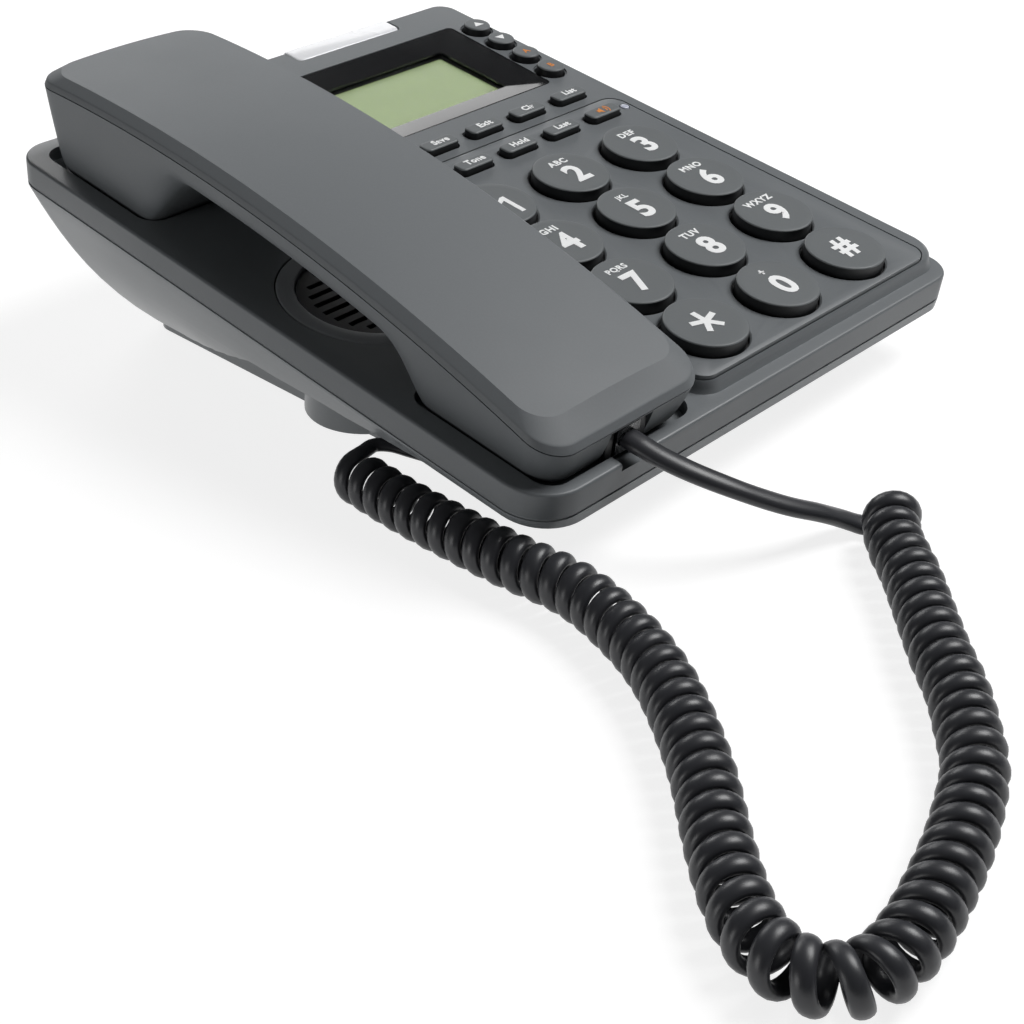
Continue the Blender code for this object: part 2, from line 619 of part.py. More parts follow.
piece("status_lens", turned(LED_X, LED_Y, [(LED_R, -PANEL_T), (LED_R, 0), (0.6 * LED_R, 0.3 * LED_R)], 12),
      RED_LENS, (LED_X, LED_Y, 0))

# Display: bezel, window and module
BEZEL_LIP_DROP = 0.0013
BEZEL_LIP_T = 0.0006
WINDOW_BORDER = 0.0022


def window_outline(grow=0):
    return rounded(WINDOW_LEFT - grow, WINDOW_RIGHT + grow, WINDOW_FRONT - grow, WINDOW_BACK + grow,
                   BEZEL_R / 2, 2)


seat = -BEZEL_LIP_DROP - BEZEL_LIP_T
piece("display_bezel", bridged([[(x, y, z) for x, y in outline] for outline, z in [
    (bezel_outline(), -BEZEL_T), (bezel_outline(), 0), (window_outline(), -BEZEL_LIP_DROP),
    (window_outline(), seat), (window_outline(WINDOW_BORDER), seat), (window_outline(WINDOW_BORDER), -BEZEL_SKIRT),
    (bezel_outline(LEDGE_W + GAP), -BEZEL_SKIRT), (bezel_outline(LEDGE_W + GAP), -BEZEL_T)]], ends=False), DARK)
glass_top = seat - GAP
piece("display_window", stacked([(window_outline(WINDOW_BORDER - GAP), glass_top - WINDOW_T),
                                 (window_outline(WINDOW_BORDER - GAP), glass_top)]), GLOSS)
lcd_top = glass_top - WINDOW_T - GAP
piece("display_module", stacked([(window_outline(LCD_MARGIN), lcd_top - LCD_T),
                                 (window_outline(LCD_MARGIN), lcd_top)]), LCD_GREEN)

# Ringing lamp across the back edge
lamp_outline = [rounded(LAMP_LEFT + d, LAMP_RIGHT - d, lamp_front + d, PLATEAU_BACK - d,
                        (LAMP_R, LAMP_R / 4, LAMP_R / 4, LAMP_R), 4) for d in (0, 0.6 * PLATEAU_EDGE)]
piece("ring_lamp", stacked([(lamp_outline[0], lamp_floor), (lamp_outline[0], -0.6 * PLATEAU_EDGE),
                            (lamp_outline[1], 0)]), LENS,
      ((LAMP_LEFT + LAMP_RIGHT) / 2, PLATEAU_BACK - LAMP_D / 2, 0))

# Circuit board on the lower shell's rim
board_x = (PLATEAU_LEFT + PLATEAU_RIGHT) / 2
board_y = PLATEAU_FRONT + 2 * SHELL_WALL
piece("circuit_board", block(board_x - BOARD_W / 2, board_x + BOARD_W / 2, board_y, board_y + BOARD_D,
                             -SEAM_DROP, BOARD_T - SEAM_DROP), BOARD_GREEN)


# Keys: a cap through the hole and a flange that stops under the panel
def flanged(outline, ceiling, rise, edge, flange):
    """outline(grow) gives the cap's outline; ceiling is the underside that stops it."""
    shelf = ceiling - GAP
    return stacked([(outline(flange), shelf - FLANGE_T), (outline(flange), shelf), (outline(0), shelf),
                    (outline(0), rise - edge), (outline(-edge), rise)])


def circle(x, y, radius, count):
    return [(x + radius * math.cos(2 * math.pi * k / count), y + radius * math.sin(2 * math.pi * k / count))
            for k in range(count)]


key_names = ["1", "2", "3", "4", "5", "6", "7", "8", "9", "star", "0", "hash"]
for key, (x, y) in zip(key_names, dial_places):
    piece("key_" + key, flanged(lambda grow: circle(x, y, DIAL_R + grow, 20), -PANEL_T, DIAL_RISE, DIAL_EDGE,
                                DIAL_FLANGE), KEY_GREY, (x, y, 0))
bar_names = {"upper": ("store", "back", "delete", "menu"), "lower": ("volume", "flash", "redial", "speaker")}
for (row, i), (x, y) in bar_places.items():
    ceiling = -PANEL_T if row == "lower" else -SHELL_WALL
    piece("key_" + bar_names[row][i], flanged(lambda grow: bar_outline(x, y, grow), ceiling, BAR_RISE, BAR_EDGE,
                                              BAR_FLANGE), KEY_GREY, (x, y, 0))
for key, (x, y) in zip(("up", "down", "memory_1", "memory_2"), stud_places):
    piece("key_" + key, flanged(lambda grow: circle(x, y, STUD_R + grow, 16), -SHELL_WALL, STUD_RISE, BAR_EDGE,
                                BAR_FLANGE), KEY_GREY, (x, y, 0))

# Hook: pressed level with the pocket floor while the handset lies there
hook_head = tray_floor - GAP
hook_stop = -SEAM_DROP - HOOK_LIFT - GAP


def hook_outline(grow=0):
    return rounded(HANDSET_X - HOOK_W / 2 - grow, HANDSET_X + HOOK_W / 2 + grow,
                   HOOK_Y - HOOK_D / 2 - grow, HOOK_Y + HOOK_D / 2 + grow, HOOK_D / 6, 2)


piece("hook_plunger", stacked([(hook_outline(HOOK_FLANGE), hook_stop - FLANGE_T), (hook_outline(HOOK_FLANGE), hook_stop),
                               (hook_outline(), hook_stop), (hook_outline(), hook_head - HOOK_FLANGE / 2),
                               (hook_outline(-HOOK_FLANGE / 2), hook_head)]),
      DARK, (HANDSET_X, HOOK_Y, hook_head))


# Handset: a bowed cover over a shell with an ear block, a grip and a mouth block
SEAM_PEAK_Y = 0.0780    # where the bowed parting line stands highest
SEAM_PEAK_Z = 0.0199
BOW_R = 0.5150
COVER_T = 0.0034
COVER_FRONT_LEAN = 0.0066
COVER_BACK_LEAN = 0.0040
half_w = HANDSET_W / 2


def bow(y):
    return SEAM_PEAK_Z - (y - SEAM_PEAK_Y) ** 2 / (2 * BOW_R)


def handset_plan(stations=18, steps=4):
    """Right half of the outline, from the front middle to the back middle."""
    out = [(0, HANDSET_FRONT)]
    for k in range(steps + 1):
        a = math.radians(270 + 90 * k / steps)
        out.append((half_w - HANDSET_R + HANDSET_R * math.cos(a), HANDSET_FRONT + HANDSET_R + HANDSET_R * math.sin(a)))
    y0, y1 = HANDSET_FRONT + HANDSET_R, HANDSET_BACK - HANDSET_R
    out += [(half_w, y0 + (y1 - y0) * k / stations) for k in range(1, stations)]
    for k in range(steps + 1):
        a = math.radians(90 * k / steps)
        out.append((half_w - HANDSET_R + HANDSET_R * math.cos(a), HANDSET_BACK - HANDSET_R + HANDSET_R * math.sin(a)))
    return out + [(0, HANDSET_BACK)]


PLAN = handset_plan()


def eased(share):
    share = min(max(share, 0.0), 1.0)
    return share * share * (3 - 2 * share)


def grip_share(y):
    """1 along the grip and 0 over the two blocks."""
    return min(eased((y - MOUTH_BACK_Y) / ARCH_RUN), eased((EAR_FRONT_Y - y) / ARCH_RUN))


def handset_ring(height, side, front, back):
    """One level of the handset; height and side inset are functions of y."""
    right = []
    scale = (HANDSET_BACK - back - HANDSET_FRONT - front) / (HANDSET_BACK - HANDSET_FRONT)
    for x, y in PLAN:
        y = HANDSET_FRONT + front + (y - HANDSET_FRONT) * scale
        right.append((x * (half_w - side(y)) / half_w, y, height(y)))
    return right


def handset_solid(rings, crown=0):
    """Bridge the levels; close them with strips across, the last one crowned."""
    points, faces, rows = [], [], []
    for ring in rings:
        start = len(points)
        points += [(HANDSET_X + x, y, z) for x, y, z in ring]
        points += [(HANDSET_X - x, y, z) for x, y, z in ring[1:-1]]
        last = start + len(ring) - 1
        rows.append((list(range(start, last + 1)), [start, *range(last + 1, last + len(ring) - 1), last]))
    for (low_r, low_l), (high_r, high_l) in zip(rows, rows[1:]):
        for i in range(len(low_r) - 1):
            faces.append((low_r[i], low_r[i + 1], high_r[i + 1], high_r[i]))
            faces.append((low_l[i], high_l[i], high_l[i + 1], low_l[i + 1]))
    for (right, left), rise in ((rows[0], 0), (rows[-1], crown)):
        n = len(right)
        if not rise:
            faces += [tuple(dict.fromkeys((right[i], left[i], left[i + 1], right[i + 1]))) for i in range(n - 1)]
            continue
        middle = [right[0]]
        for i in range(1, n - 1):
            x, y, z = points[right[i]]
            share = (x - HANDSET_X) / half_w
            middle.append(len(points))
            points.append((HANDSET_X, y, z + rise * share))
        middle.append(right[-1])
        for i in range(n - 1):
            for edge in (right, left):
                faces.append(tuple(dict.fromkeys((edge[i], middle[i], middle[i + 1], edge[i + 1]))))
    return points, faces


FACET_SHARE = 0.45
handset_middle = (HANDSET_X, (HANDSET_FRONT + HANDSET_BACK) / 2, bow((HANDSET_FRONT + HANDSET_BACK) / 2))
cover_rings = []
for rise_share, lean_share in ((0, 0), (FACET_SHARE, FACET_SHARE / 2), (1, 1)):
    cover_rings.append(handset_ring(lambda y: bow(y) + rise_share * COVER_T, lambda y: lean_share * COVER_TUMBLE,
                                    lean_share * COVER_FRONT_LEAN, lean_share * COVER_BACK_LEAN))
piece("handset_cover", handset_solid(cover_rings, COVER_CROWN), GREY, handset_middle)

SHOULDER_SHARE = 0.35


def lower_rings(wall=0):
    """Levels of the handset's shell from its seam down; a wall gives its hollow."""
    levels = (  # share of the block's depth, its inset, the grip's depth and inset, rise of the floor
        (0, 0, 0, 0, 0),
        (SHOULDER_SHARE, SHOULDER_SHARE * BLOCK_TAPER, GRIP_SIDE, 0.1 * GRIP_TUCK, 0),
        (1, BLOCK_TAPER, 0.85 * GRIP_DEPTH, 0.5 * GRIP_TUCK, BLOCK_EDGE),
        (1, BLOCK_TAPER + BLOCK_EDGE, GRIP_DEPTH, GRIP_TUCK, 0))
    rings = []
    for k, (share, block_inset, grip_depth, grip_inset, lift) in enumerate(levels):
        drop = GAP if not wall else -OVER
        raised = wall if k > 1 else 0

        def height(y):
            top = bow(y) - (drop if not k else GAP)
            deep = share * (top + HANDSET_FLOOR) - lift
            g = grip_share(y)
            return top - ((1 - g) * deep + g * grip_depth) + raised

        def side(y):
            g = grip_share(y)
            return (1 - g) * block_inset + g * grip_inset + wall
        rings.append(handset_ring(height, side, block_inset + wall, block_inset + wall))
    return rings


shell = piece("handset_shell", handset_solid(lower_rings()), GREY, handset_middle)
boolean(shell, handset_solid(lower_rings(HANDSET_WALL)), name="room", solver="MANIFOLD")

block_floor = -HANDSET_FLOOR
wall_top = block_floor + HANDSET_WALL
CAP_FLANGE = 0.0008
jack_front = HANDSET_FRONT + 0.6 * BLOCK_TAPER
socket_z = -HANDSET_JACK_DROP
handset_jack = (HANDSET_X - jack_half, HANDSET_X + jack_half, jack_front, jack_front + JACK_DEPTH,
                socket_z - PLUG_H / 2 - 0.7 * JACK_WALL, socket_z + PLUG_H / 2 + 0.7 * JACK_WALL)
mic_outline = [rounded(HANDSET_X - MIC_CAP_W / 2 - d, HANDSET_X + MIC_CAP_W / 2 + d, MIC_Y - MIC_CAP_D / 2 - d,
                       MIC_Y + MIC_CAP_D / 2 + d, MIC_CAP_D / 4, 2) for d in (0, GAP, CAP_FLANGE)]
boolean(shell, join([
    turned(HANDSET_X, EAR_Y, [(EAR_CAP_R + GAP, block_floor - OVER), (EAR_CAP_R + GAP, wall_top + OVER)], 28),
    stacked([(mic_outline[1], block_floor - OVER), (mic_outline[1], wall_top + OVER)]),
    block(handset_jack[0] - GAP, handset_jack[1] + GAP, HANDSET_FRONT - OVER, handset_jack[3] + GAP,
          handset_jack[4] - GAP, handset_jack[5] + GAP)]), name="ports")

cap = piece("ear_cap", turned(HANDSET_X, EAR_Y, [
    (EAR_CAP_R - GAP, block_floor), (EAR_CAP_R, block_floor + GAP), (EAR_CAP_R, wall_top + GAP),
    (EAR_CAP_R + CAP_FLANGE, wall_top + GAP), (EAR_CAP_R + CAP_FLANGE, wall_top + GAP + CAP_FLANGE)], 28),
    DARK, (HANDSET_X, EAR_Y, block_floor))
SOUND_HOLE_R = 0.0013
SOUND_RING_SHARE = 0.45
sound_holes = [turned(HANDSET_X, EAR_Y, [(SOUND_HOLE_R, block_floor - OVER), (SOUND_HOLE_R, wall_top + 2 * OVER)], 8)]
for k in range(6):
    a = math.radians(60 * k)
    sound_holes.append(turned(HANDSET_X + SOUND_RING_SHARE * EAR_CAP_R * math.cos(a),
                              EAR_Y + SOUND_RING_SHARE * EAR_CAP_R * math.sin(a),
                              [(SOUND_HOLE_R, block_floor - OVER), (SOUND_HOLE_R, wall_top + 2 * OVER)], 8))
boolean(cap, join(sound_holes), name="holes")
receiver_floor = wall_top + CAP_FLANGE + 2 * GAP
piece("receiver", turned(HANDSET_X, EAR_Y, [(RECEIVER_R, receiver_floor), (RECEIVER_R, receiver_floor + RECEIVER_T / 2),
                                            (0.6 * RECEIVER_R, receiver_floor + RECEIVER_T)], 20),
      STEEL, (HANDSET_X, EAR_Y, receiver_floor))
mic_cap = piece("mic_cap", stacked([(mic_outline[0], block_floor), (mic_outline[0], wall_top + GAP),
                                    (mic_outline[2], wall_top + GAP), (mic_outline[2], wall_top + GAP + CAP_FLANGE)]),
                DARK, (HANDSET_X, MIC_Y, block_floor))
boolean(mic_cap, join([block(x - SLOT_W / 2, x + SLOT_W / 2, MIC_Y - MIC_CAP_D / 4, MIC_Y + MIC_CAP_D / 4,
                             block_floor - OVER, wall_top + 2 * OVER)
                       for x in (HANDSET_X - SLOT_PITCH, HANDSET_X, HANDSET_X + SLOT_PITCH)]), name="slots")

body = piece("handset_jack", block(*handset_jack), DARK,
             [(handset_jack[k] + handset_jack[k + 1]) / 2 for k in (0, 2, 4)])
plug_w, plug_h = PLUG_W / 2, PLUG_H / 2
boolean(body, block(HANDSET_X - plug_w - GAP, HANDSET_X + plug_w + GAP, jack_front - OVER, jack_front + socket_reach,
                    socket_z - plug_h - GAP, socket_z + plug_h + GAP), name="slot")


# Cord: plug, lead, curly coil, tail and plug; level frame, route points chosen by hand
def level_point(x, y, z):
    return np.array((x, *leveled(y, z)))


plug_start = jack_front - PLUG_PROUD
piece("handset_plug", block(HANDSET_X - plug_w, HANDSET_X + plug_w, plug_start, plug_start + PLUG_LENGTH,
                            socket_z - plug_h, socket_z + plug_h),
      CLEAR, (HANDSET_X, plug_start + PLUG_LENGTH / 2, socket_z))
plug_end = cord_jack[0] - PLUG_PROUD
piece("base_plug", block(plug_end, plug_end + PLUG_LENGTH, CORD_JACK_Y - plug_w, CORD_JACK_Y + plug_w,
                         cord_jack_h - plug_h, cord_jack_h + plug_h),
      CLEAR, (plug_end + PLUG_LENGTH / 2, CORD_JACK_Y, cord_jack_h), DESK)

COIL_ROUTE = [
    (-0.1038, 0.0060), (-0.1044, -0.0019), (-0.1049, -0.0166), (-0.1041, -0.0434), (-0.1025, -0.0612),
    (-0.1068, -0.0798), (-0.1126, -0.0934), (-0.1205, -0.1056), (-0.1297, -0.1175), (-0.1385, -0.1270),
    (-0.1458, -0.1354), (-0.1520, -0.1438), (-0.1554, -0.1516), (-0.1553, -0.1583), (-0.1520, -0.1639),
    (-0.1463, -0.1666), (-0.1385, -0.1665), (-0.1301, -0.1650), (-0.1230, -0.1631), (-0.1129, -0.1601),
    (-0.1049, -0.1568), (-0.0984, -0.1540), (-0.0923, -0.1508), (-0.0875, -0.1463), (-0.0812, -0.1411),
    (-0.0759, -0.1361), (-0.0707, -0.1298), (-0.0643, -0.1233), (-0.0560, -0.1149), (-0.0487, -0.1075),
    (-0.0449, -0.1024), (-0.0405, -0.0978), (-0.0331, -0.0926)]
LEAD_ROUTE = [
    (-0.0712, -0.0580, 0.0233), (-0.0682, -0.0640, 0.0208), (-0.0635, -0.0700, 0.0176), (-0.0579, -0.0747, 0.0140),
    (-0.0520, -0.0787, 0.0106), (-0.0454, -0.0818, 0.0072), (-0.0400, -0.0838, 0.0040)]
TAIL_ROUTE = [(-0.0895, -0.0048, 0.0098), (-0.0920, -0.0008, 0.0108), (-0.0942, 0.0036, 0.0115)]


def smooth_path(points, step):
    """Catmull-Rom curve through the points, read at an even step."""
    points = np.array(points, float)
    padded = np.vstack([2 * points[0] - points[1], points, 2 * points[-1] - points[-2]])
    t = np.linspace(0, 1, 60, endpoint=False)[:, None]
    fine = []
    for a, b, c, d in zip(padded, padded[1:], padded[2:], padded[3:]):
        fine.append(0.5 * (2 * b + (c - a) * t + (2 * a - 5 * b + 4 * c - d) * t ** 2
                           + (3 * b - a - 3 * c + d) * t ** 3))
    fine = np.vstack(fine + [points[-1:]])
    run = np.concatenate([[0], np.cumsum(np.linalg.norm(np.diff(fine, axis=0), axis=1))])
    count = max(2, round(run[-1] / step) + 1)
    at = np.linspace(0, run[-1], count)
    return np.column_stack([np.interp(at, run, fine[:, k]) for k in range(fine.shape[1])])


def coil_rings():
    """Ring centres and outlines of the curly cord, which winds round its route."""
    route = smooth_path(COIL_ROUTE, COIL_R / 10)
    soft = np.ones(15) / 15
    for _ in range(3):
        ends = np.vstack([np.linspace(2 * route[0] - route[7], route[0], 8)[:-1], route,
                          np.linspace(route[-1], 2 * route[-1] - route[-8], 8)[1:]])
        route = np.column_stack([np.convolve(ends[:, k], soft, "valid") for k in range(2)])
    step = np.linalg.norm(np.diff(route, axis=0), axis=1)
    run = np.concatenate([[0], np.cumsum(step)])
    along = np.gradient(route, run, axis=0)
    along /= np.linalg.norm(along, axis=1)[:, None]
    bend = np.linalg.norm(np.gradient(along, run, axis=0), axis=1)
    # The pitch opens on a bend, so that the curls keep their gap on its inner side
    density = np.clip(1 - COIL_R * bend, 0.55, 1)
    turns = np.concatenate([[0], np.cumsum((density[1:] + density[:-1]) / 2 * step)])
    turns *= COIL_TURNS / turns[-1]
    wanted = np.linspace(0, COIL_TURNS, round(COIL_TURNS * COIL_POINTS) + 1)
    place = np.column_stack([np.interp(wanted, turns, route[:, k]) for k in range(2)])
    ahead = np.column_stack([np.interp(wanted, turns, along[:, k]) for k in range(2)])
    ahead /= np.linalg.norm(ahead, axis=1)[:, None]
    angle = math.pi / 2 + 2 * math.pi * wanted
    out = np.column_stack([-ahead[:, 1] * np.cos(angle), ahead[:, 0] * np.cos(angle), np.sin(angle)])
    axis_height = REST + CORD_D / 2 + COIL_R
    centres = np.column_stack([place, np.full(len(place), axis_height)]) + COIL_R * out
    heading = np.gradient(centres, axis=0)
    pitch = np.interp(wanted, turns, run)
    advance = np.gradient(pitch, 2 * math.pi * wanted)
    for k in (0, -1):   # true tangents at the ends
        spin = np.array((-ahead[k, 1] * -math.sin(angle[k]), ahead[k, 0] * -math.sin(angle[k]), math.cos(angle[k])))
        heading[k] = COIL_R * spin + advance[k] * np.array((*ahead[k], 0))
    heading /= np.linalg.norm(heading, axis=1)[:, None]
    centres = np.vstack([centres[0] - END_RUN * heading[0], centres, centres[-1] + END_RUN * heading[-1]])
    heading = np.vstack([heading[:1], heading, heading[-1:]])
    out = np.vstack([out[:1], out, out[-1:]])
    out -= heading * np.sum(out * heading, axis=1)[:, None]
    out /= np.linalg.norm(out, axis=1)[:, None]
    wide = np.cross(heading, out)
    rings = []
    for centre, o, w in zip(centres, out, wide):
        rings.append([tuple(centre + CORD_FLAT / 2 * math.cos(a) * o + CORD_WIDE / 2 * math.sin(a) * w)
                      for a in (math.radians(30 + 60 * k) for k in range(6))])
    return centres, heading, rings


def least_gap(rings):
    """Least distance between points more than two thirds of a curl apart along the tube."""
    points = np.array(rings).reshape(-1, 3)
    ring = np.repeat(np.arange(len(rings)), 6)
    apart = 2 * COIL_POINTS // 3
    least = math.inf
    for k in range(len(rings)):
        near = (np.abs(ring - k) >= apart) & (np.abs(ring - k) <= 4 * COIL_POINTS)
        gaps = np.linalg.norm(points[near][None] - np.array(rings[k])[:, None], axis=2)
        least = min(least, gaps.min())
    return least


coil_centres, coil_heading, coil_sections = coil_rings()
coil_gap = least_gap(coil_sections)
coil_length = float(np.linalg.norm(np.diff(coil_centres, axis=0), axis=1).sum())
print("coil: least gap to itself %.2f mm, cord in it %.3f m" % (coil_gap * 1000, coil_length))
middle = tuple(coil_centres[len(coil_centres) // 2])
piece("curly_cord", bridged(coil_sections), CORD_GREY, middle, DESK, angle=80)


def cord_run(name, start, start_way, route, end, end_way):
    """A free stretch of cord, straight for a little at both ends."""
    first, last = start + END_RUN * start_way, end - END_RUN * end_way
    inner = smooth_path([first, *route, last], 2 * CORD_D)
    points = [start, *inner, end]
    curve = bpy.data.curves.new(name, "CURVE")
    curve.dimensions = "3D"
    curve.bevel_depth = CORD_D / 2
    curve.bevel_resolution = 2
    curve.use_fill_caps = True
    line = curve.splines.new("POLY")
    line.points.add(len(points) - 1)
    for point, place in zip(line.points, points):
        point.co = (*(place - start), 1)
    curve.materials.append(CORD_GREY)
    thing = bpy.data.objects.new(name, curve)
    bpy.context.scene.collection.objects.link(thing)
    thing.matrix_world = DESK @ Matrix.Translation(start)
    length = float(np.linalg.norm(np.diff(np.array(points), axis=0), axis=1).sum())
    print("%s: %.3f m" % (name, length))


down_slope = np.array((0, -COS, -SIN))
cord_run("cord_lead", level_point(HANDSET_X, plug_start - GAP, socket_z), down_slope, LEAD_ROUTE,
         coil_centres[-1] + GAP * coil_heading[-1], -coil_heading[-1])
cord_run("cord_tail", np.array((plug_end - GAP, CORD_JACK_Y, cord_jack_h)), np.array((-1, 0, 0)), TAIL_ROUTE,
         coil_centres[0] - GAP * coil_heading[0], coil_heading[0])
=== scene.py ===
"""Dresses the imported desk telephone: materials, fine pieces, lettering, cord and stage."""

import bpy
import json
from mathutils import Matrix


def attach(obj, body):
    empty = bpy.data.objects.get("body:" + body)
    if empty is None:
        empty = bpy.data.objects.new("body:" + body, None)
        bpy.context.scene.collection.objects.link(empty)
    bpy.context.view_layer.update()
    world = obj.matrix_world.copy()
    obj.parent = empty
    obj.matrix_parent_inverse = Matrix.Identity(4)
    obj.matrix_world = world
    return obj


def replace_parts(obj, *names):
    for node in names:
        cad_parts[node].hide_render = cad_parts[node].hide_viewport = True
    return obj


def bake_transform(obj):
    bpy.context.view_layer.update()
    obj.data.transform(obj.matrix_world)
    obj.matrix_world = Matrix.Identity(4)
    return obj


bl_info = {
    "name": "Desk telephone dressing",
    "version": (1, 0, 0),
    "blender": (4, 5, 0),
    "location": "View3D > Sidebar > Telephone",
    "description": "Dresses a corded desk telephone: shells, keys, display, handset, curly cord and stage",
    "category": "Object",
}
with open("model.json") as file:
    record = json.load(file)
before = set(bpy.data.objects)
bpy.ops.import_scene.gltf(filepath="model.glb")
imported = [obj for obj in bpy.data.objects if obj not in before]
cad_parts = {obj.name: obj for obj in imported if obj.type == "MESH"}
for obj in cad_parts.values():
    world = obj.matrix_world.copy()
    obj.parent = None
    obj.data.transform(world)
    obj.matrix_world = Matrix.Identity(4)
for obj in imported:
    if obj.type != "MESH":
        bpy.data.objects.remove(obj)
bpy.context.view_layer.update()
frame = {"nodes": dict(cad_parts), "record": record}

import json
import math

import bmesh
import bpy
import numpy as np
from mathutils import Matrix, Vector

# Sizes in metres, as in the part's solids but for the fuller bars, laid out square to the sloping face
GAP, OVER = 0.0003, 0.0010
TILT = math.radians(8.2)
SIN, COS = math.sin(TILT), math.cos(TILT)
FACE_HEIGHT = 0.0340
BASE_X, BASE_W, BASE_Y, BASE_D = -0.0243, 0.1566, 0.04275, 0.1925
RIM_DROP, EDGE_R, LIP_DROP = 0.0040, 0.0014, 0.0130
PANEL_T, SHELL_WALL, FLANGE_T = 0.0013, 0.0028, 0.0010
DIAL_PITCH_X, DIAL_PITCH_Y, DIAL_R, DIAL_RISE = 0.0280, 0.0231, 0.0104, 0.0029
BAR_W, BAR_D, BAR_R, BAR_FIRST_X, BAR_PITCH, BAR_RISE = 0.0120, 0.0046, 0.0016, -0.0157, 0.0171, 0.0020
STUD_R, STUD_RISE, STUD_TOP, STUD_PITCH, STUD_LEAN = 0.0040, 0.0020, (0.0469, 0.1170), 0.0109, 0.00065
HANDSET_X, HANDSET_W, HANDSET_FRONT, HANDSET_BACK, HANDSET_R = -0.0727, 0.0517, -0.0508, 0.1330, 0.0080
COVER_TUMBLE, COVER_CROWN, COVER_T = 0.0028, 0.0009, 0.0034
COVER_FRONT_LEAN, COVER_BACK_LEAN = 0.0066, 0.0040
SEAM_PEAK_Y, SEAM_PEAK_Z, BOW_R = 0.0780, 0.0199, 0.5150
HANDSET_FLOOR, BLOCK_TAPER, BLOCK_EDGE = 0.0072, 0.0024, 0.0022
GRIP_SIDE, GRIP_DEPTH, GRIP_TUCK = 0.0048, 0.0098, 0.0095
EAR_FRONT_Y, MOUTH_BACK_Y, ARCH_RUN, EAR_Y, EAR_CAP_R = 0.0930, -0.0130, 0.0180, 0.1095, 0.0145


def leveled(y, z):
    return y * COS - z * SIN, y * SIN + z * COS + FACE_HEIGHT


FRONT_END = leveled(BASE_Y - BASE_D / 2, -RIM_DROP - EDGE_R)
BACK_END = leveled(BASE_Y + BASE_D / 2, -LIP_DROP)
MIDDLE_Y = (FRONT_END[0] + BACK_END[0]) / 2
LEVEL = Matrix.Translation((-BASE_X, -MIDDLE_Y, 0))
FACE = LEVEL @ Matrix.Translation((0, 0, FACE_HEIGHT)) @ Matrix.Rotation(TILT, 4, "X")


def linear(hex_colour):
    """sRGB hex to the linear values that shaders take."""
    out = []
    for k in (1, 3, 5):
        c = int(hex_colour[k:k + 2], 16) / 255
        out.append(c / 12.92 if c <= 0.04045 else ((c + 0.055) / 1.055) ** 2.4)
    return (*out, 1.0)


def colour(label, hex_colour, about):
    return bpy.props.FloatVectorProperty(name=label, description=about, subtype="COLOR", size=4, min=0, max=1,
                                         default=linear(hex_colour))


def length(label, value, about):
    return bpy.props.FloatProperty(name=label, description=about, default=value, unit="LENGTH")


class PhoneColours(bpy.types.PropertyGroup):
    body: colour("Body", "#6e7275", "Satin grey of the upper shell and the handset")
    # Lighter than the body, partly painted light for the floor's bounce onto the leaning walls
    lower: colour("Lower shell", "#8f9396", "Grey of the lower shell")
    keys: colour("Key caps", "#686c6e", "Grey of the key caps")
    print_white: colour("Key print", "#fbfcfc", "White print of the digits and letters")
    accent: colour("Accent print", "#e08a3c", "Orange print of the memory and speaker marks")
    bezel: colour("Bezel", "#17181a", "Near black of the bezel and the speaker")
    # Lighter than the body: painted light on the ring in the shade under the handset
    ring: colour("Speaker ring", "#8b8e91", "Grey of the ring round the speaker")
    lcd: colour("Display", "#aabd82", "Unlit green of the display")
    lamp: colour("Ringing lamp", "#f6f7fb", "Milky lens of the ringing lamp")
    cord: colour("Cord", "#35363a", "Jacket of the curly cord")


class PhoneSizes(bpy.types.PropertyGroup):
    digit: length("Digit height", 0.0084, "Height of the digits on the dial keys")
    letters: length("Letter height", 0.0024, "Height of the letters beside a digit")
    label: length("Label height", 0.0023, "Height of the words on the function keys")
    print_t: length("Print thickness", 0.00006, "How far print stands on a key")
    cord_thick: length("Cord thickness", 0.0028, "The flat cord, across the curls")
    cord_wide: length("Cord width", 0.0043, "The flat cord, along the coil")


# Helpers
def set_inputs(node, values):
    for key, value in values.items():
        node.inputs[key].default_value = value


def add_node(tree, kind, links=None, **settings):
    """One node with its settings; links gives inputs a value or another node's output."""
    node = tree.nodes.new(kind)
    for key, value in settings.items():
        setattr(node, key, value)
    for key, value in (links or {}).items():
        if isinstance(value, bpy.types.NodeSocket):
            tree.links.new(value, node.inputs[key])
        else:
            node.inputs[key].default_value = value
    return node


def rows_to_mesh(name, points, faces, matrix=FACE, angle=35, material=None):
    """A finished piece: object at the origin, its place in its mesh."""
    bm = bmesh.new()
    verts = [bm.verts.new(matrix @ Vector(p)) for p in points]
    for face in faces:
        bm.faces.new([verts[i] for i in face])
    bmesh.ops.remove_doubles(bm, verts=bm.verts, dist=1e-7)
    bmesh.ops.recalc_face_normals(bm, faces=bm.faces)
    mesh = bpy.data.meshes.new(name)
    bm.to_mesh(mesh)
    bm.free()
    return finished(name, mesh, material, angle)


def shaded(mesh, material, angle):
    """Smooth shading with creases past the angle, and one material where it is given."""
    mesh.shade_smooth()
    mesh.set_sharp_from_angle(angle=math.radians(angle))
    if material:
        mesh.materials.clear()
        mesh.materials.append(material)
    return mesh


def finished(name, mesh, material, angle=35):
    thing = bpy.data.objects.new(name, shaded(mesh, material, angle))
    bpy.context.scene.collection.objects.link(thing)
    return thing


def plain_mesh(name, thing):
    """Mesh of an object with its modifiers applied; whoever calls it puts the object away."""
    bpy.context.view_layer.update()
    mesh = bpy.data.meshes.new_from_object(thing.evaluated_get(bpy.context.evaluated_depsgraph_get()))
    mesh.name = name
    return mesh


